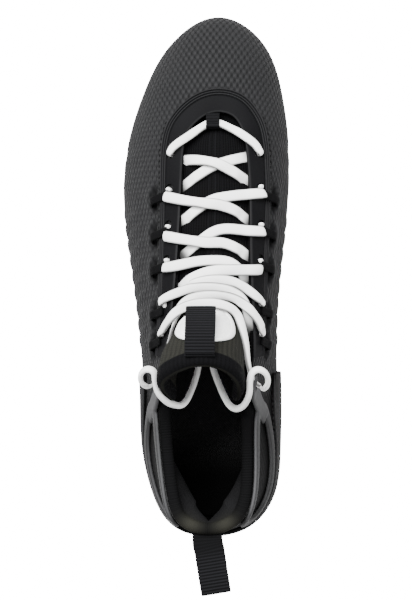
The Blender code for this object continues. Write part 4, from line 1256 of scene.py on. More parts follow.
def floor_finish(colours):
    """Matt floor that looks white and throws little light back at the shoe."""
    shader = new_finish("floor", roughness=0.9, specular=0.0, Emission_Color=WHITE)
    grain = shader.group("Cleat Grain", Vector=shader.spot(), Scale=60.0)
    shader.finish("Base Color", toned(shader, colours.floor, 0.01, grain))
    seen = shader.add("LightPath").outputs["Is Camera Ray"]
    shader.finish("Emission Strength", shader.math("MULTIPLY", seen, FLOOR_GLOW))


def make_finishes(colours):
    make_groups()
    textile_finish(colours)
    corners = colours.heel_corner
    lining_finish("lining", colours.lining, colours.heel_pad, corners, roughness=0.9)
    # The footbed's pad colour is a near-black copy of its own colour: painted shade towards the heel
    lining_finish("footbed", colours.footbed, tint(colours.footbed, 0.08), corners, roughness=0.92)
    for film in FILMS:
        film_finish(film, getattr(colours, film.name), getattr(colours, film.line))
    counter_finish(colours)
    for cloth in RIBBED:
        tongue_finish(cloth, getattr(colours, cloth.name), colours.webbing)
    cage_finish(colours)
    for thread in THREADS:
        thread_finish(thread, getattr(colours, thread.name))
    floor_finish(colours)


# Upper

def upper_insets(edge, reach):
    """Distances below the top edge, close together where the lace slots lie."""
    return np.concatenate((
        np.linspace(edge, SLOT_BAND[0], 11)[:-1],
        np.linspace(*SLOT_BAND, 30)[:-1],
        np.linspace(SLOT_BAND[1], reach, 46),
    ))


def slot_field(places, insets, ys):
    """Height of the pockets that the lace loops come out of, and the painted shade in them."""
    height = np.zeros_like(ys)
    dark = np.zeros_like(ys)
    side = np.where(places > TOE, 1, 0)
    for medial in (0, 1):
        for row_y in EYELET_ROWS[1:]:
            along = (ys - row_y * MM + SLOT_BACK) / SLOT_HALF
            reach = np.exp(-np.abs(along) ** 4) * (side == medial)
            below = insets - SLOT_INSET - SLOT_BOW * (1.0 - np.clip(along, -1, 1) ** 2)
            pit = bump(below + PIT_ABOVE, PIT_WIDTH)
            lip = bump(below - LIP_BELOW, np.where(below < LIP_BELOW, LIP_START, LIP_RUN_OUT))
            height += reach * (LIP_HEIGHT * lip - PIT_DEPTH * pit)
            shadow = np.minimum(1.0, SHADE_STRENGTH * bump(below + SHADE_ABOVE, SHADE_WIDTH))
            dark = np.maximum(dark, reach * shadow)
    return height, dark


def ripple_field(insets, ys):
    """Slanted soft steps on both quarters."""
    turn = (ys + RIPPLE_SLANT * insets) / RIPPLE_PITCH
    saw = turn - np.floor(turn)
    wave = smooth(0.0, RIPPLE_CREST, saw) - smooth(RIPPLE_CREST, 1.0, saw)
    return RIPPLE_HEIGHT * wave * window(ys, RIPPLE_ALONG) * window(insets, RIPPLE_BELOW)


def crease_field(insets, ys):
    """Shallow troughs where the foot bends the vamp."""
    depth = 0.0
    for crease in CREASES:
        away = ys + crease.slant * insets - crease.y * MM
        depth = depth + crease.depth * MM * bump(away, crease.width * MM)
    return -depth * smooth(*CREASE_BELOW, insets)


def pad_field(section, insets):
    """How far the pads on both sides of the heel stand into the shoe."""
    swell = np.sin(math.pi * np.clip(section / PAD_SECTIONS, 0.0, 1.0)) ** PAD_FULLNESS
    return PAD_DEPTH * swell * window(insets, PAD_BELOW)


def round_rim(outer, out, rim):
    """Half round from the outer face over the top edge; rim is its radius at each place."""
    up = unit(outer[:, -1] - outer[:, -3])
    middle = outer[:, -1] - out * rim[:, None]
    turns = np.linspace(0.0, math.pi, RIM_STEPS + 2)[1:-1]
    bend = [middle + rim[:, None] * (out * math.cos(turn) + up * math.sin(turn)) for turn in turns]
    return np.stack(bend, axis=1)


def upper_marks(places, outer, insets, slot_shade):
    """Marks of the dark rim, the painted shade of the slots, the heel pads and the pads' olive corners with
    their painted highlight.
    """
    section = section_of(places)[:, None]
    rim = (1.0 - smooth(*RIM_FRONT, section)) * (1.0 - smooth(*RIM_BELOW, insets))
    slot = np.zeros_like(rim)
    heel_dark = HEEL_DARK * (1.0 - smooth(*HEEL_DARK_FRONT, outer[..., 1]))
    # Painted shade of the slots, with the textile darkened towards the heel
    slot[:, :outer.shape[1]] = np.maximum(slot_shade, heel_dark)
    pad = (1.0 - smooth(*PAD_MARK_FRONT, section)) * window(insets, PAD_MARK_BELOW)
    # The corners' painted highlight is strongest near the top edge
    wear_and_highlight = np.mean([1.0 - smooth(*fade, insets) for fade in CORNER_BELOW], axis=0)
    corner = bump(section - CORNER_SECTION, CORNER_WIDTH) * wear_and_highlight
    return {"rim": rim.T, "slot": slot.T, "pad": pad.T, "corner": corner.T}


def build_upper():
    places = np.arange(RING * COLUMNS) / COLUMNS
    reach = np.array([girth(place) for place in places])
    rim = 0.5 * wall_at(places, 1.0)

    insets = np.array([upper_insets(edge, long)[::-1] for edge, long in zip(rim, reach)])
    outer, normals = wall_grid(places, insets)
    wide = np.broadcast_to(places[:, None], insets.shape)
    slot_height, slot_shade = slot_field(wide, insets, outer[..., 1])
    height = slot_height + ripple_field(insets, outer[..., 1]) + crease_field(insets, outer[..., 1])
    outer = outer + normals * height[..., None]

    inner_insets = np.array([np.linspace(edge, long, UPPER_INNER_ROWS) for edge, long in zip(rim, reach)])
    inner, inner_normals = wall_grid(places, inner_insets)
    wall = wall_at(places[:, None], 1.0 - inner_insets / reach[:, None])
    wall = wall + pad_field(section_of(places)[:, None], inner_insets)
    inner = inner - inner_normals * wall[..., None]
    points = np.concatenate((outer, round_rim(outer, normals[:, -1], rim), inner), axis=1)

    rim_insets = np.broadcast_to(rim[:, None], (len(places), RIM_STEPS))
    all_insets = np.concatenate((insets, rim_insets, inner_insets), axis=1)
    flat_top = np.array([column(place).line[-1][:2] for place in places])
    toward = np.array([column(place).toward for place in places])
    chart = flat_top[:, None] + toward[:, None] * all_insets[..., None]
    strips = np.where(np.arange(points.shape[1]) < insets.shape[1] - 1, 0, 1)
    item = patch(points.transpose(1, 0, 2), chart.transpose(1, 0, 2), strips, wrap=True)
    marks = upper_marks(places, outer, all_insets, slot_shade)
    mesh = make_mesh("upper", [item], ("textile", "lining"), marks)
    add_piece("upper", mesh, "textile", "upper")


# Sole and insole

def sole_places():
    """Places round the ring where the sole and the insole have a column."""
    return np.arange(RING * COLUMNS // 2) * 2.0 / COLUMNS


def plate_rings():
    """Rings of the plate from the floor of its cup, over its lip, to its underside."""
    columns = []
    for place in sole_places():
        wall = column(place)
        out = np.array([*wall.out, 0.0])
        feather = wall.feather
        down = feather[2] - wall.plate
        lip = girth(place) - wall.lip
        points = [feather - out * CUP_INSET - UP * GAP, feather + out * GAP - UP * GAP]
        for ring in LIP_RINGS:
            points.append(over_wall(place, lip + ring.below * MM, GAP + ring.wall * LIP_WALL)[0])
        points.append(over_wall(place, LIP_FOOT * girth(place), GAP + LIP_WALL + EDGE_STEP)[0])
        for ring in SIDE_RINGS:
            points.append(feather + out * EDGE_STEP * ring.out - UP * down * ring.down)
        points.append(feather + out * EDGE_STEP * BASE_STEP - UP * (down - BASE_ROUND))
        points.append(feather - out * BASE_INSET - UP * down)
        columns.append(points)
    return np.array(columns).transpose(1, 0, 2)


def close_ring(ring, steps, lift):
    """Rings that run from a closed ring to the line along its middle."""
    half = len(ring) // 2
    index = np.arange(len(ring))
    mirror = (len(ring) - index) % len(ring)
    middle = 0.5 * (ring + ring[mirror])
    middle[0] = 0.5 * (ring[0] + middle[1])
    middle[half] = 0.5 * (ring[half] + middle[half - 1])
    middle = middle + UP * lift
    return [ring + (middle - ring) * share for share in np.linspace(0.0, 1.0, steps + 1)[1:]]


def weld(mesh):
    work = bmesh.new()
    work.from_mesh(mesh)
    bmesh.ops.remove_doubles(work, verts=work.verts, dist=0.002 * MM)
    bmesh.ops.dissolve_degenerate(work, edges=work.edges, dist=0.002 * MM)
    bmesh.ops.recalc_face_normals(work, faces=work.faces)
    work.to_mesh(mesh)
    work.free()


def flat_map(rings):
    return np.asarray(rings)[..., :2].copy()


def add_stud(centre, turn, root):
    """Stud with a round shoulder at its tip, as a patch."""
    angle = circle_turns(24)
    outline = np.stack((STUD_STRETCH * np.cos(angle), STUD_FLATTEN * np.sin(angle)), axis=1)
    rows = [(STUD_TIP * level.radius, level.height * MM) for level in STUD_TIP_LEVELS]
    rows += [(STUD_TIP + (STUD_BASE - STUD_TIP) * share, root * share) for share in STUD_SHANK]
    rings = []
    for radius, z in rows:
        flat = outline * radius
        x = centre[0] + flat[:, 0] * math.cos(turn) - flat[:, 1] * math.sin(turn)
        y = centre[1] + flat[:, 0] * math.sin(turn) + flat[:, 1] * math.cos(turn)
        rings.append(np.stack((x, y, np.full(len(x), z)), axis=1))
    return patch(np.array(rings))


def stud_patches():
    patches = []
    for stud in SIDE_STUDS:
        for place in (stud.section, RING - stud.section):
            wall = column(place)
            centre = wall.feather[:2] - wall.out * stud.inset * MM
            turn = math.atan2(wall.out[1], wall.out[0]) + 0.5 * math.pi
            patches.append(add_stud(centre, turn, wall.plate + STUD_ROOT))
    for _, y in CENTRE_STUDS:
        section = float(np.interp(y, [row.y for row in LAST], range(len(LAST))))
        middle = 0.5 * (column(section).feather + column(RING - section).feather)
        patches.append(add_stud(middle[:2], 0.0, column(section).plate + STUD_ROOT))
    return patches


def build_outsole():
    rings = plate_rings()
    inside = close_ring(rings[0], 8, 0.0)[::-1]
    under = close_ring(rings[-1], 10, 0.0)
    grid = np.array([*inside, *rings, *under])
    mesh = make_mesh("plate", [patch(grid, flat_map(grid), caps=False)], ("plate",))
    weld(mesh)
    piece = add_piece("plate", mesh, "plate", "outsole")
    combine(piece, make_mesh("studs", stud_patches(), ("plate",)), "UNION")
    piece.data.shade_smooth()
    piece.data.set_sharp_from_angle(angle=math.radians(38))


def build_insole():
    columns = []
    for place in sole_places():
        wall = column(place)
        out = np.array([*wall.out, 0.0])
        edge = wall.feather - out * (sizes().wall + INSOLE_PLAY)
        columns.append([edge - out * ring.inset * MM + UP * ring.height * MM for ring in INSOLE_EDGE])
    rings = np.array(columns).transpose(1, 0, 2)[::-1]
    upper_side = close_ring(rings[0], 10, INSOLE_DISH)[::-1]
    under = close_ring(rings[-1], 6, 0.0)
    grid = np.array([*upper_side, *rings, *under])
    # Painted shade: the footbed darkens towards the heel, under the pad mark
    heel = 1.0 - smooth(*INSOLE_SHADE, grid[..., 1])
    mesh = make_mesh("footbed", [patch(grid, flat_map(grid), caps=False)], ("footbed",), {"pad": heel})
    weld(mesh)
    add_piece("footbed", mesh, "footbed", "insole")


# Tongue

def tongue_rows():
    """Rows of the tongue's outer face from its tucked front end to its roll."""
    under = -(sizes().wall + TONGUE_CLEAR)
    rows = []
    front = np.linspace(TOE - 1.0, TOE + 1.0, TONGUE_COLUMNS)
    for tuck in (TONGUE_TUCK, 0.5 * TONGUE_TUCK):
        rows.append([over_wall(place, tuck, under)[0] for place in front])
    for section in TONGUE_SECTIONS:
        edges = [over_wall(place, 0.0, under)[0] for place in (section, RING - section)]
        tucks = [over_wall(place, TONGUE_TUCK, under)[0] for place in (section, RING - section)]
        width = np.linalg.norm(edges[1] - edges[0])
        sweep_back = TONGUE_SWEEP * (1.0 - smooth(*SWEEP_END, section))
        crown = TONGUE_CROWN * width * (1.0 - smooth(*CROWN_END, section)) + SWEEP_CROWN * sweep_back
        row = [tucks[0]]
        for across in np.linspace(-1.0, 1.0, TONGUE_COLUMNS - 2):
            swell = 1.0 - across * across
            point = edges[0] + (edges[1] - edges[0]) * 0.5 * (across + 1.0)
            row.append(point + np.array([0.0, sweep_back * swell, crown * swell]))
        row.append(tucks[1])
        rows.append(row)
    for arch in TONGUE:
        turns = math.radians(arch.wrap) * np.linspace(-1.0, 1.0, TONGUE_COLUMNS)
        across = np.linspace(-1.0, 1.0, TONGUE_COLUMNS)
        rows.append(np.stack((
            arch.x + arch.half * np.sin(turns),
            arch.y - arch.depth * (1.0 - np.cos(turns)),
            arch.z - arch.drop * across ** 2,
        ), axis=1) * MM)
    return np.array(rows)


def grid_normals(grid):
    return unit(np.cross(np.gradient(grid, axis=0), np.gradient(grid, axis=1)))


def tongue_form():
    """Outer face of the tongue with its relief, its normals and its thickness."""
    face = refine(tongue_rows(), 9)
    face = refine(face.transpose(1, 0, 2), 6).transpose(1, 0, 2)
    normals = grid_normals(face)
    rows, count = face.shape[:2]
    along = np.linspace(0.0, 1.0, rows)[:, None]
    across = np.linspace(-1.0, 1.0, count)[None, :]
    roll = smooth(*ROLL_START, along)
    cheek = smooth(*CHEEK_START, along) * bump(across - CHEEK_ACROSS, CHEEK_WIDTH)
    band = (1.0 - smooth(*BAND_EDGE, np.abs(across))) * window(along, BAND_ALONG)
    lift = ROLL_LIFT * roll + BAND_LIFT * band + CHEEK_LIFT * cheek
    round_sides = np.sqrt(np.clip(1.0 - across ** 6, 0.0, 1.0))
    thick = sizes().tongue_wall * (0.55 + 0.45 * round_sides) + ROLL_WALL * roll
    return face + normals * lift[..., None], normals, thick


def tongue_side(face, normals, thick, edge, inward):
    """Half round along one side of the tongue, from its face to its back."""
    half = 0.5 * thick[:, edge][:, None]
    centre = face[:, edge] - normals[:, edge] * half
    out = unit(face[:, edge] - face[:, inward])
    turns = np.linspace(0.5 * math.pi, -0.5 * math.pi, 6)[1:-1]
    arc = [centre + half * (normals[:, edge] * math.sin(turn) + out * math.cos(turn)) for turn in turns]
    return np.stack(arc, axis=1)


def tongue_crown(face, normals, thick, right, left):
    """Rows that close the tongue over its top edge."""
    half = 0.5 * thick[-1][:, None]
    centre = face[-1] - normals[-1] * half
    top = unit(face[-1] - face[-4])
    rows = []
    for turn in np.radians(CROWN_TURNS):
        rise = top * math.sin(turn)
        outer = centre + half * (rise + normals[-1] * math.cos(turn))
        inner = centre + half * (rise - normals[-1] * math.cos(turn))
        ends = 0.5 * (right[-1] + outer[-1])
        starts = 0.5 * (left[-1] + outer[0])
        rows.append(np.concatenate((outer, ends, inner[::-1], starts)))
    return rows


def build_tongue():
    face, normals, thick = tongue_form()
    rows, count = thick.shape
    back = face - normals * thick[..., None]
    right = tongue_side(face, normals, thick, -1, -3)
    left = tongue_side(face, normals, thick, 0, 2)[:, ::-1]
    loops = np.concatenate((face, right, back[:, ::-1], left), axis=1)
    loops = np.concatenate((loops, tongue_crown(face, normals, thick, right, left)))

    around = lengths_along(loops[rows // 2])
    along = lengths_along(loops[:, count // 2])
    chart = np.stack(np.broadcast_arrays(around[None, :], along[:, None]), axis=2)
    finish = np.where(np.arange(len(loops) - 1) < ROLL_SEAM * rows, 0, 1)
    share = np.arange(len(loops)) / rows
    lower = np.broadcast_to(1.0 - smooth(*LOWER_END, share)[:, None], loops.shape[:2])
    across = np.linspace(-1.0, 1.0, count)
    fold_highlight = np.zeros(loops.shape[:2])
    # Painted highlight along the band's edges and its middle fold
    fold_highlight[:rows, :count] = bump(np.abs(across) - FOLD_ACROSS, FOLD_WIDTH) + bump(across, MIDDLE_FOLD_WIDTH)
    marks = {"band": lower, "fold": fold_highlight * lower}
    mesh = make_mesh("tongue", [patch(loops, chart, finish)], ("tongue", "roll"), marks)
    piece = add_piece("tongue", mesh, "tongue_mesh", "tongue")


def tongue_face():
    """Top of the tongue's face, the way down it and the way off it, at the middle."""
    bend = np.array([0.0, TONGUE[-2].y, TONGUE[-2].z]) * MM
    foot = np.array([0.0, TONGUE[0].y, TONGUE[0].z]) * MM
    down = unit(foot - bend)
    return foot - down * TONGUE_FACE, down, np.array([0.0, -down[2], down[1]])


def build_badge():
    tree = tree_of("tongue")
    top, down, off = tongue_face()
    centre = top + down * BADGE_DOWN + ACROSS * BADGE_X
    turns = circle_turns(72)
    rings = []
    for level in BADGE_LEVELS:
        ring = []
        for turn in turns:
            spot = centre + BADGE_RADIUS * level.radius * (ACROSS * math.cos(turn) + down * math.sin(turn))
            hit = tree.ray_cast(Vector(spot + off * BADGE_CAST), Vector(-off))[0]
            ring.append(np.array(hit) + off * (BADGE_CLEAR + level.height * MM))
        rings.append(ring)
    mesh = make_mesh("badge", [patch(np.array(rings))], ("badge",))
    add_piece("badge", mesh, "badge_white", "tongue_badge")


# Overlays on the upper

def eyestay_places():
    """Places along the eyestay from its lateral end round the toe to its medial end."""
    spans = round((RING - 2.0 * EYESTAY_END) * COLUMNS)
    return np.linspace(EYESTAY_END, RING - EYESTAY_END, spans + 1)


def eyelets(height):
    """Point over the middle of each eyelet, and the normal there."""
    places = [place_at_row(row_y * MM, medial) for row_y in EYELET_ROWS for medial in (False, True)]
    return [over_wall(place, EYELET_INSET, height) for place in places]


def build_eyestay():
    places = eyestay_places()
    border = np.linspace(BORDER_END, BORDER_START, 33)
    steps = np.concatenate((border[:-1], np.linspace(BORDER_START, -EYESTAY_OVER, 12)))
    insets = np.broadcast_to(steps, (len(places), len(steps)))
    grooves = sum(bump(steps - spot, GROOVE_WIDTH) for spot in BORDER_GROOVES)
    ridges = sum(bump(steps - spot, RIDGE_WIDTH) for spot in BORDER_RIDGES)
    relief = RIDGE_HEIGHT * ridges - GROOVE_DEPTH * grooves
    loops, chart = overlay(places, insets, OVERLAY_LIFT, EYESTAY_WALL, EYESTAY_ROUND, relief)
    # Painted highlight on the tops of the border's ridges and along the film's throat edge
    line = np.maximum(RIDGE_HIGHLIGHT * ridges, bump(steps + EDGE_HIGHLIGHT_OVER, EDGE_HIGHLIGHT_WIDTH))
    line = np.broadcast_to(np.concatenate((line, np.zeros(len(steps)))), loops.shape[:2])
    mesh = make_mesh("eyestay", [patch(loops, chart)], ("film",), {"line": line})
    piece = add_piece("eyestay", mesh, "film", "eyestay")
    depth = 6.0 * EYESTAY_WALL
    holes = [cylinder(spot, normal, EYELET_RADIUS, depth) for spot, normal in eyelets(GAP)]
    combine(piece, mesh_from(holes, "eyelets"), "DIFFERENCE")
    piece.data.shade_smooth()
    piece.data.set_sharp_from_angle(angle=math.radians(40))


def bead_on_wall(places, insets, lift):
    """Welded bead along a line on the wall, as a patch."""
    points, normals = wall_grid(places, np.asarray(insets)[:, None])
    profile = flat_oval(BEAD_WIDTH, 2.0 * BEAD_HEIGHT, 12, 2.2)
    steps = np.arange(len(places))
    taper = np.minimum(1.0, np.minimum(steps, steps[::-1]) / BEAD_TIP_STEPS + BEAD_TIP)
    rings = sweep(points[:, 0] + normals[:, 0] * lift, normals[:, 0], profile * taper[:, None, None])
    return patch(rings)


def build_seams():
    """Stitches beside the eyestay."""
    places = eyestay_places()
    points, normals = wall_grid(places, np.full((len(places), 1), BORDER_END + SEAM_BESIDE))
    line = points[:, 0] + normals[:, 0] * SEAM_LIFT
    stitches = []
    for chosen in (places < TOE - SEAM_FRONT, places > TOE + SEAM_FRONT):
        stitches += stitch_row(line[chosen], normals[chosen, 0], sizes().stitch)
    add_piece("eyestay_stitches", make_mesh("eyestay_stitches", stitches, ("thread",)), "film")


def build_counter():
    ends = COUNTER_TOP[-1].section
    places = np.linspace(-ends, ends, round(2.0 * ends * COLUMNS) + 1)
    reach = np.array([girth(place) for place in places])
    low = reach - np.array([column(place).lip for place in places]) - COUNTER_OVER_LIP
    high = reach * (1.0 - np.interp(section_of(places), *zip(*COUNTER_TOP)))
    steps = np.linspace(0.0, 1.0, COUNTER_ROWS)
    insets = low[:, None] + (high - low)[:, None] * steps
    loops, chart = overlay(places, insets, OVERLAY_LIFT, COUNTER_WALL, COUNTER_ROUND)
    inner = (section_of(places) * np.where(places < 0, 1, -1))[:, None]
    rise = np.concatenate((steps, steps[::-1]))[None, :]
    print_mark = window(inner, PRINT_SECTIONS) * smooth(*PRINT_RISE, rise)
    mesh = make_mesh("counter", [patch(loops, chart)], ("counter",), {"print": print_mark})
    add_piece("counter", mesh, "counter_film", "heel_counter")
    # The bead's light colour is a painted highlight along the counter's top edge
    edge = bead_on_wall(places, high + BEAD_BELOW, OVERLAY_LIFT + BEAD_SEAT * COUNTER_WALL)
    add_piece("counter_edge", make_mesh("counter_edge", [edge], ("piping",)), "counter_film")


def line_on_wall(steps, medial, lift):
    """Points over the wall at steps of section and height, and the normals there."""
    found = []
    for section, share in steps:
        place = place_of(section, medial)
        found.append(over_wall(place, inset_of(place, share), lift))
    points, normals = zip(*found)
    return np.array(points), np.array(normals)


def build_cage(side, medial):
    weights = spline_weights(np.array(CAGE_RING))
    turns = np.arange(CAGE_STEPS) * len(CAGE_RING) / CAGE_STEPS
    steps = [spline_value(weights, turn)[0] for turn in turns]
    line, normals = line_on_wall(steps, medial, CAGE_CLEAR + 0.5 * CAGE_WALL)
    rings = sweep_closed(line, normals, flat_oval(RING_WIDTH, CAGE_WALL, 16, 4.0))
    mesh = make_mesh("cage_" + side, [patch(rings, wrap=True)], ("cage",))
    piece = add_piece("cage_" + side, mesh, "cage_plastic", "cage_" + side)

    line, normals = line_on_wall(curve_through(CAGE_FIN, 0.012), medial, CAGE_CLEAR + GAP + 0.5 * CAGE_WALL)
    width = 1.0 - FIN_TAPER * smooth(*FIN_TIP, np.linspace(0.0, 1.0, len(line)))
    profile = flat_oval(FIN_WIDTH, CAGE_WALL, 16, 4.0)
    profile = profile * np.stack((width, np.ones_like(width)), axis=1)[:, None]
    combine(piece, make_mesh("fin", [patch(sweep(line, normals, profile))], ("cage",)), "UNION")
    spot, normal = (found[0] for found in line_on_wall([FIN_EYELET], medial, CAGE_CLEAR))
    combine(piece, mesh_from([cylinder(spot, normal, FIN_HOLE, 6.0 * CAGE_WALL)], "hole"), "DIFFERENCE")
    remesh = piece.modifiers.new("skin", "REMESH")
    remesh.mode = "VOXEL"
    remesh.voxel_size = CAGE_VOXEL
    relax = piece.modifiers.new("soften", "SMOOTH")
    relax.factor = 0.5
    relax.iterations = 6
    settle(piece)
    mark_cage_light(piece, place_of(CAGE_MIDDLE, medial))
    piece.data.shade_smooth()


def mark_cage_light(piece, place):
    """Mark the cage's painted light: painted highlight most at its edges and on its fin, painted shade along
    its lower bar.
    """
    mesh = piece.data
    normals = np.zeros(len(mesh.vertices) * 3, dtype=np.float32)
    spots = np.zeros_like(normals)
    mesh.vertices.foreach_get("normal", normals)
    mesh.vertices.foreach_get("co", spots)
    _, y, z = spots.reshape(-1, 3).T
    facing = np.abs(normals.reshape(-1, 3) @ over_wall(place, CAGE_MIDDLE_INSET, 0.0)[1])
    edge = 1.0 - smooth(*CAGE_LIGHT_FACING, facing)
    fin = smooth(*CAGE_LIGHT_FIN_Y, y)
    lower = 1.0 - smooth(*CAGE_SHADE_BAR_Z, z)
    # Painted highlight at the edges and fin, painted shade along the lower bar
    thin = np.clip(CAGE_LIGHT_ALL + CAGE_LIGHT_EDGE * edge + CAGE_LIGHT_FIN * fin - CAGE_SHADE_BAR * lower, 0.0, 1.0)
    attribute = mesh.attributes.new("thin", "FLOAT", "POINT")
    attribute.data.foreach_set("value", thin.astype(np.float32))


# Webbing

def webbing_mesh(name, points, across, width, ribbed):
    """Flat webbing along a path with raised ribs across it and a painted highlight on their tops; ribbed is
    how strong they are at each point.
    """
    points = np.asarray(points)
    tangents = np.gradient(points, axis=0)
    ups = np.cross(across, tangents)
    along = lengths_along(points)
    rib = np.abs(np.sin(math.pi * along / sizes().rib)) ** RIB_SHARPNESS
    profile = flat_oval(1.0, 1.0, 28, 7.0)
    wide = width * (1.0 + RIB_SPREAD * rib * ribbed)
    wall = sizes().webbing * (1.0 - RIB_PIT * ribbed + RIB_RISE * rib * ribbed)
    rings = sweep(points, ups, profile * np.stack((wide, wall), axis=1)[:, None])
    # Painted highlight on the top of each rib
    crest_highlight = np.repeat(rib ** 2 * ribbed, len(profile))
    return make_mesh(name, [patch(rings)], ("webbing",), {"rib": crest_highlight})


def build_tongue_pull():
    top, down, off = tongue_face()
    line = curve_through(np.array(TONGUE_PULL) * MM, 0.25 * MM)
    points = top + line[:, :1] * down + line[:, 1:] * off + ACROSS * TONGUE_PULL_X
    mesh = webbing_mesh("tongue_pull", points, ACROSS, sizes().pull_width, np.ones(len(points)))
    add_piece("tongue_pull", mesh, "webbing", "tongue_pull_loop")


def build_heel_pull():
    line = curve_through(np.array(HEEL_PULL) * MM, 0.25 * MM)
    away = HEEL_SEAM_Y * MM - line[:, 0]
    x = HEEL_PULL_X * MM + away * HEEL_PULL_LEAN * smooth(0.0, HEEL_LEAN_START, away)
    points = np.column_stack((x, line))
    across = unit(np.array([1.0, HEEL_PULL_LEAN, 0.0]))
    ribbed = HEEL_SEWN_RIB + (1.0 - HEEL_SEWN_RIB) * smooth(*HEEL_RIBS_Y, points[:, 1])
    mesh = webbing_mesh("heel_pull", points, across, sizes().pull_width, ribbed)
    add_piece("heel_pull", mesh, "webbing", "heel_pull_loop")


def build_throat_keeper():
    tree = tree_of("tongue")
    points = []
    for y, height in curve_through(np.array(THROAT_LOOP), 0.25):
        drawn_in = KEEPER_FRONT + KEEPER_SHARE * (y - KEEPER_FRONT)
        floor = tree.ray_cast(Vector((THROAT_LOOP_X * MM, drawn_in * MM, CAST_HEIGHT)), DOWN)[0]
        points.append(np.array(floor) + UP * height * MM)
    mesh = webbing_mesh("throat_keeper", points, ACROSS, THROAT_LOOP_WIDTH, np.full(len(points), 0.5))
    add_piece("throat_keeper", mesh, "webbing", "throat_loop")


def build_lace_loop(row, row_y, side):
    """Band that lies on the eyestay beside the lace and goes down into its slot."""
    medial = side == "medial"
    shares = np.linspace(0.0, 1.0, LOOP_STEPS)
    lift = OVERLAY_LIFT + GAP + EYESTAY_WALL + 0.5 * LOOP_WALL
    lift = lift + LOOP_BEND * bump(shares - LOOP_BEND_AT, LOOP_BEND_WIDTH)
    lift = lift - LOOP_DIVE * smooth(*LOOP_DIVE_SPAN, shares)
    line, normals = [], []
    for share, height in zip(shares, lift):
        place = place_at_row((row_y - LOOP_BACK - LOOP_SWEEP * share) * MM, medial)
        point, normal = over_wall(place, (LOOP_INSET + LOOP_LENGTH * share) * MM, height)
        line.append(point)
        normals.append(normal)
    rib = 1.0 + LOOP_RIB_RISE * np.abs(np.sin(LOOP_RIBS * math.pi * shares))
    profile = flat_oval(LOOP_DRAWN_IN * LOOP_WIDTH, LOOP_WALL, 18, 3.5)
    profile = profile * np.stack((np.ones_like(rib), rib), axis=1)[:, None]
    mesh = make_mesh(f"loop_{side}_{row}", [patch(sweep(line, normals, profile))], ("webbing",))
    add_piece(f"loop_{side}_{row}", mesh, "webbing", f"lace_loop_{side}_{row}")


# Lace

def upper_hull(reach, heights):
    """Line of a taut string over a profile."""
    kept = []
    for point in zip(reach, heights):
        while len(kept) > 1:
            (ax, ay), (bx, by) = kept[-2], kept[-1]
            if (bx - ax) * (point[1] - ay) >= (by - ay) * (point[0] - ax):
                kept.pop()
            else:
                break
        kept.append(point)
    xs, ys = zip(*kept)
    return np.interp(reach, xs, ys)


def soften(values, times):
    values = np.array(values)
    for _ in range(times):
        values[1:-1] = 0.25 * values[:-2] + 0.5 * values[1:-1] + 0.25 * values[2:]
    return values


def lay_strand(trees, route):
    """Path of a strand laid on what is under it, and its up direction at each point."""
    plan = curve_through(np.array(route, dtype=float) * MM, 1.0 * MM)
    tangents = np.gradient(plan, axis=0)
    sides = unit(np.column_stack((tangents[:, 1], -tangents[:, 0])))
    across = np.linspace(-0.5, 0.5, 5) * sizes().lace_width
    levels = np.empty((len(plan), 5))
    for index, (point, side) in enumerate(zip(plan, sides)):
        for step, offset in enumerate(across):
            spot = Vector((*(point + side * offset), CAST_HEIGHT))
            hits = [tree.ray_cast(spot, DOWN)[0] for tree in trees]
            levels[index, step] = max(hit.z for hit in hits if hit is not None)
    slopes = soften(np.clip((levels[:, 4] - levels[:, 0]) / sizes().lace_width, -0.9, 0.9), 30)
    heights = np.max(levels - slopes[:, None] * across, axis=1)
    heights = heights + 0.5 * sizes().lace_wall * np.hypot(1.0, slopes)
    taut = upper_hull(lengths_along(plan), heights)
    lift = np.minimum(0.8 * (taut - heights), LACE_SPAN_LIFT)
    heights = soften(heights + lift, 6)
    ups = unit(np.column_stack((-sides * slopes[:, None], np.ones(len(plan)))))
    return np.column_stack((plan, heights)), ups


def nearest_eyelet(point):
    """Film-side centre of the eyelet nearest to a point, with the normal there."""
    found = eyelets(OVERLAY_LIFT + EYESTAY_WALL)
    return min(found, key=lambda pair: np.linalg.norm(pair[0] - point))


def carry_ups(points, first):
    """Up directions carried along a path without twist."""
    ups = [first]
    for tangent in unit(np.gradient(points, axis=0))[1:]:
        ups.append(unit(ups[-1] - tangent * np.dot(ups[-1], tangent)))
    return np.array(ups)


def goes_straight_in(point, centre):
    """Whether a strand ends so near its eyelet that it needs no fold."""
    return np.linalg.norm(point[:2] - centre[:2]) < STRAIGHT_IN


def turn_end(points, ups, form):
    """Turn the end of a strand down into the nearest eyelet, or fold it under itself beside the eyelet."""
    centre, normal = nearest_eyelet(points[-1])
    direct = goes_straight_in(points[-1], centre)
    kept = len(points) - (3 if direct else 2)
    points, ups, form = points[:kept], ups[:kept], form[:kept]
    end = points[-1]
    forward = unit(end - points[-4])
    if direct:
        knots = [centre + normal * height * MM for height in EYELET_DIVE]
    else:
        depth = np.dot(end - centre, normal)
        knots = [end + forward * knot.forward * MM - normal * (knot.share * depth + knot.below * MM)
                 for knot in FOLD_KNOTS]
    fold = curve_through(np.array([end, *knots]), 0.5 * MM)[1:]
    fold_ups = carry_ups(np.concatenate((points[-2:], fold)), ups[-2])[2:]
    least, more = FOLD_WIDTH_SHARE
    narrow = least + more * (1.0 - smooth(0.0, 0.5, np.linspace(0.0, 1.0, len(fold))))
    fold_form = np.stack((narrow, np.full(len(fold), FOLD_WALL), np.zeros(len(fold))), axis=1)
    return np.concatenate((points, fold)), np.concatenate((ups, fold_ups)), np.concatenate((form, fold_form))


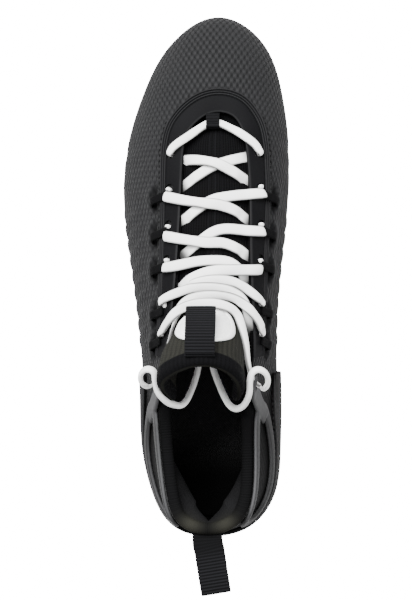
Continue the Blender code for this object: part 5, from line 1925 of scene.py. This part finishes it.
def eyelet_stub(point):
    """Lace that shows in an eyelet beside the fold of a strand, as a patch, or nothing."""
    centre, normal = nearest_eyelet(point)
    if goes_straight_in(point, centre):
        return []
    toward = centre - point - normal * np.dot(centre - point, normal)
    apart = np.linalg.norm(toward)
    toward = toward / apart
    beside = np.cross(normal, toward)
    centre = centre + toward * np.clip(STUB_APART - apart, *STUB_SHIFT)
    turns = circle_turns(20)
    outline = STUB_LONG * toward * np.cos(turns)[:, None] + STUB_WIDE * beside * np.sin(turns)[:, None]
    rings = [centre + outline * share + normal * height * MM for share, height in STUB_DOME]
    return [patch(np.array(rings))]


def tuck_end(tongue, points, ups, form, fade):
    """Press the end of a strand flat and slide it under the eyestay's edge, on the tongue."""
    forward = points[-1] - points[-4]
    forward = unit(np.array([forward[0], forward[1], 0.0]))
    steps = np.arange(1, TUCK_STEPS + 1)[:, None] * MM
    points = np.concatenate((points, points[-1] + forward * steps))
    ups = np.concatenate((ups, np.repeat(ups[-1:], TUCK_STEPS, axis=0)))
    form = np.concatenate((form, np.repeat(PLAIN_FORM, TUCK_STEPS, axis=0)))
    reach = lengths_along(points[:, :2])
    left = (reach[-1] - reach) / MM
    free = smooth(TUCK_STEPS, TUCK_STEPS + TUCK_FREE, left)
    form[:, 2] += 1.0 - smooth(TUCK_SHADE, TUCK_SHADE + fade, left)
    low = points[0, 2]
    for index in np.flatnonzero(free < 1.0):
        hit = tongue.ray_cast(Vector((points[index, 0], points[index, 1], CAST_HEIGHT)), DOWN)[0]
        if hit is not None:
            low = hit.z + TUCK_OVER
        points[index, 2] = low + (points[index, 2] - low) * free[index]
    form[:, 1] *= TUCK_WALL + (1.0 - TUCK_WALL) * free
    return points, ups, form


def push_clear(tree, point, clear):
    """Move a point of the lace off the parts that it would touch."""
    up = UP
    for _ in range(5):
        near, normal, _, away = tree.find_nearest(Vector(point))
        up = np.array(normal)
        if away >= clear and np.dot(point - np.array(near), up) >= 0.0:
            break
        point = np.array(near) + up * clear * 1.02
    return point, up


def run_on(tree, points, ups, form, tail, lean):
    """Go on from the end of a strand along a tail that stays clear of the parts."""
    knots = np.array([points[-6], points[-3], points[-1], *(np.array(spot) * MM for spot in tail)])
    path = curve_through(knots, 1.0 * MM)
    path = path[lengths_along(path) > np.linalg.norm(points[-6] - points[-1])]
    path_form = np.repeat(PLAIN_FORM, len(path), axis=0)
    path_form[:, 1] -= min(RUN_THIN, lean)
    left = lengths_along(path)[-1] - lengths_along(path)
    path_form[:, 0] *= RUN_END_WIDTH + (1.0 - RUN_END_WIDTH) * smooth(0.0, RUN_END, left)
    up = ups[-1]
    path_ups = []
    for index, spot in enumerate(path):
        clear = 0.5 * sizes().lace_wall * path_form[index, 1] + LACE_CLEAR
        path[index], normal = push_clear(tree, spot, clear)
        up = unit(up + lean * normal)
        path_ups.append(up)
    points = np.concatenate((points, soften(path, 30)))
    return soften(points, 4), soften(np.concatenate((ups, path_ups)), 20), np.concatenate((form, path_form))


def strand_path(trees, tongue, strand):
    """Whole path of a strand with its ups and its form along it."""
    points, ups = lay_strand(trees, strand.route)
    form = np.repeat(PLAIN_FORM, len(points), axis=0)
    for end in reversed(strand.ends):
        if end == "turn":
            points, ups, form = turn_end(points, ups, form)
        elif end == "tuck":
            points, ups, form = tuck_end(tongue, points, ups, form, strand.fade)
        else:
            points, ups, form = run_on(trees[0], points, ups, form, strand.tail, strand.lean)
        points, ups, form = points[::-1], ups[::-1], form[::-1]
    return points, ups, soften(form, 3) * np.array([strand.width, 1.0, 1.0])


def lay_lace(points, ups, form):
    """Flat lace along a path, as a patch and the marks of the painted shade at its two edges and of its
    painted shadow.
    """
    profile = flat_oval(sizes().lace_width, sizes().lace_wall, 24, 2.2)
    # Painted shade along both edges of the lace
    edge = smooth(*LACE_EDGE_SHADE, np.abs(profile[:, 0]) / (0.5 * sizes().lace_width))
    marks = np.stack(np.broadcast_arrays(edge[None, :], form[:, 2:]), axis=2)
    return patch(sweep(points, ups, profile * form[:, None, :2])), marks.reshape(-1, 2)


def lace_mesh(name, patches, marks):
    edge, shadow = np.concatenate(marks).T
    return make_mesh(name, patches, ("lace",), {"edge": edge, "shadow": shadow})


def build_lace():
    loops = [f"loop_{side}_{row}" for side in ("lateral", "medial") for row in range(2, 7)]
    trees = [tree_of("upper", "tongue", "eyestay", "badge", *loops)]
    tongue = tree_of("tongue")
    for name, strands in LACE.items():
        patches, marks = [], []
        for strand in strands:
            item, mark = lay_lace(*strand_path(trees, tongue, strand))
            quads = faces_of(item)[0]
            trees.append(BVHTree.FromPolygons(item.points.reshape(-1, 3).tolist(), quads.tolist()))
            patches.append(item)
            marks.append(mark)
            for end, spot in zip(strand.ends, (strand.route[0], strand.route[-1])):
                if end == "turn":
                    height = item.points[0 if spot is strand.route[0] else -1, 0, 2]
                    stubs = eyelet_stub(np.array([*(np.array(spot) * MM), height]))
                    patches += stubs
                    marks += [np.zeros((stub.points.size // 3, 2)) for stub in stubs]
        add_piece(name, lace_mesh(name, patches, marks), "lace_white", name)


def build_lace_ends():
    """Free ends of the lace, stated as cords."""
    tree = tree_of("upper", "tongue", "eyestay", "cage_lateral", "cage_medial")
    clear = 0.5 * sizes().lace_wall + LACE_CLEAR
    for name, route in LACE_ENDS.items():
        points = curve_through(np.array(route) * MM, 1.0 * MM)
        moves = np.zeros_like(points)
        for index in range(END_HELD, len(points)):
            moves[index] = push_clear(tree, points[index], clear)[0] - points[index]
        points = even_points(soften(points + soften(moves, 14), 3), len(points))
        reach = lengths_along(points)
        tangents = unit(np.gradient(points, axis=0))
        hand = math.copysign(1.0, -route[0][0])
        beside = hand * np.cross(UP, tangents)
        loop = (1.0 - smooth(*END_LOOP, reach)) * tangents[:, 1] ** 2
        flatness = END_FLAT - END_ON_EDGE * np.clip(END_TURNED * loop, 0.0, 1.0)
        ups = soften(unit(END_BESIDE * beside + flatness[:, None] * UP), 6)
        form = np.repeat(END_FORM, len(points), axis=0)
        for part, (share, distance) in enumerate(END_STARTS):
            form[:, part] *= share + (1.0 - share) * smooth(0.0, distance, reach)
        item, mark = lay_lace(points, ups, form)
        piece = add_piece(name, lace_mesh(name, [item], [END_EDGE_SHADE * mark]), "lace_white", name)


# Stage

def add_light(row, power):
    light = bpy.data.lights.new(row.name, "AREA")
    light.shape = "RECTANGLE"
    light.size, light.size_y = row.size
    light.energy = power
    lamp = new_object(row.name, light)
    lamp.location = row.place
    lamp.rotation_euler = (LIGHT_TARGET - Vector(row.place)).to_track_quat("-Z", "Y").to_euler()


def build_stage(stage):
    mesh = bpy.data.meshes.new("floor")
    work = bmesh.new()
    bmesh.ops.create_grid(work, x_segments=8, y_segments=8, size=FLOOR_SIZE)
    work.to_mesh(mesh)
    work.free()
    mesh.materials.append(bpy.data.materials["cleat_floor"])
    floor = new_object("floor", mesh)
    floor.location.z = -FLOOR_BELOW

    for row in LIGHTS:
        add_light(row, getattr(stage, row.name + "_power"))
    world = bpy.data.worlds.new("studio")
    world.use_nodes = True
    sky = world.node_tree.nodes["Background"]
    sky.inputs["Color"].default_value = WHITE
    sky.inputs["Strength"].default_value = stage.sky
    bpy.context.scene.world = world

    low, high = CAD_BOX
    centre = 0.5 * (low + high)
    target = Vector((centre.x, centre.y, CAMERA_TARGET_Z))
    camera = new_object("camera", bpy.data.cameras.new("camera"))
    camera.location = (target.x + stage.side, target.y, stage.height)
    back = (camera.location - target).normalized()
    side = Vector((0.0, 1.0, 0.0)).cross(back).normalized()
    turn = Matrix((side, back.cross(side), back)).transposed()
    camera.rotation_euler = turn.to_euler()
    distance = (camera.location - target).length
    camera.data.lens = camera.data.sensor_width * distance / stage.frame_length
    camera.data.clip_end = 20.0
    bpy.context.scene.camera = camera


# Operators

class CLEAT_OT_finishes(bpy.types.Operator):
    """Make the shared node groups and the finishes"""

    bl_idname = "cleat.finishes"
    bl_label = "Finishes"

    def execute(self, context):
        make_finishes(context.scene.cleat_colours)
        return {"FINISHED"}


class CLEAT_OT_stage(bpy.types.Operator):
    """Add floor, lights and camera"""

    bl_idname = "cleat.stage"
    bl_label = "Stage"

    def execute(self, context):
        build_stage(context.scene.cleat_stage)
        return {"FINISHED"}


class CLEAT_OT_upper(bpy.types.Operator):
    """Build the textile upper with its lining"""

    bl_idname = "cleat.upper"
    bl_label = "Upper"

    def execute(self, context):
        build_upper()
        return {"FINISHED"}


class CLEAT_OT_sole(bpy.types.Operator):
    """Build the plate with its studs, and the footbed"""

    bl_idname = "cleat.sole"
    bl_label = "Sole"

    def execute(self, context):
        build_outsole()
        build_insole()
        return {"FINISHED"}


class CLEAT_OT_tongue(bpy.types.Operator):
    """Build the padded tongue and its badge"""

    bl_idname = "cleat.tongue"
    bl_label = "Tongue"

    def execute(self, context):
        build_tongue()
        build_badge()
        return {"FINISHED"}


class CLEAT_OT_overlays(bpy.types.Operator):
    """Build eyestay, counter and their seams"""

    bl_idname = "cleat.overlays"
    bl_label = "Overlays"

    def execute(self, context):
        build_eyestay()
        build_seams()
        build_counter()
        return {"FINISHED"}


class CLEAT_OT_cages(bpy.types.Operator):
    """Build the moulded cages on both sides of the collar"""

    bl_idname = "cleat.cages"
    bl_label = "Cages"

    def execute(self, context):
        build_cage("lateral", False)
        build_cage("medial", True)
        return {"FINISHED"}


class CLEAT_OT_webbing(bpy.types.Operator):
    """Build pull loops, lace keeper and lace loops"""

    bl_idname = "cleat.webbing"
    bl_label = "Webbing"

    def execute(self, context):
        build_tongue_pull()
        build_heel_pull()
        build_throat_keeper()
        for row, row_y in enumerate(EYELET_ROWS[1:], 2):
            for side in ("lateral", "medial"):
                build_lace_loop(row, row_y, side)
        return {"FINISHED"}


class CLEAT_OT_lace(bpy.types.Operator):
    """Run the lace through the eyelets and lay its free ends"""

    bl_idname = "cleat.lace"
    bl_label = "Lace"

    def execute(self, context):
        build_lace()
        build_lace_ends()
        return {"FINISHED"}


class CLEAT_PT_panel(bpy.types.Panel):
    """Panel in the sidebar of the 3D view"""

    bl_idname = "CLEAT_PT_panel"
    bl_label = "Lacrosse Cleat"
    bl_space_type = "VIEW_3D"
    bl_region_type = "UI"
    bl_category = "Cleat"

    def draw(self, context):
        scene = context.scene
        for operator in OPERATORS:
            self.layout.operator(operator.bl_idname)
        for group in (scene.cleat_sizes, scene.cleat_colours, scene.cleat_stage):
            box = self.layout.box()
            for name in group.__annotations__:
                box.prop(group, name)


OPERATORS = (CLEAT_OT_finishes, CLEAT_OT_stage, CLEAT_OT_upper, CLEAT_OT_sole, CLEAT_OT_tongue,
             CLEAT_OT_overlays, CLEAT_OT_cages, CLEAT_OT_webbing, CLEAT_OT_lace)
GROUPS = {"cleat_sizes": CleatSizes, "cleat_colours": CleatColours, "cleat_stage": CleatStage}
CLASSES = (*GROUPS.values(), *OPERATORS, CLEAT_PT_panel)


def register():
    for item in CLASSES:
        bpy.utils.register_class(item)
    for name, group in GROUPS.items():
        setattr(bpy.types.Scene, name, bpy.props.PointerProperty(type=group))


def unregister():
    for name in GROUPS:
        delattr(bpy.types.Scene, name)
    for item in reversed(CLASSES):
        bpy.utils.unregister_class(item)


def main():
    register()
    for operator in OPERATORS:
        group, name = operator.bl_idname.split(".")
        getattr(getattr(bpy.ops, group), name)()


if __name__ == "__main__":
    main()
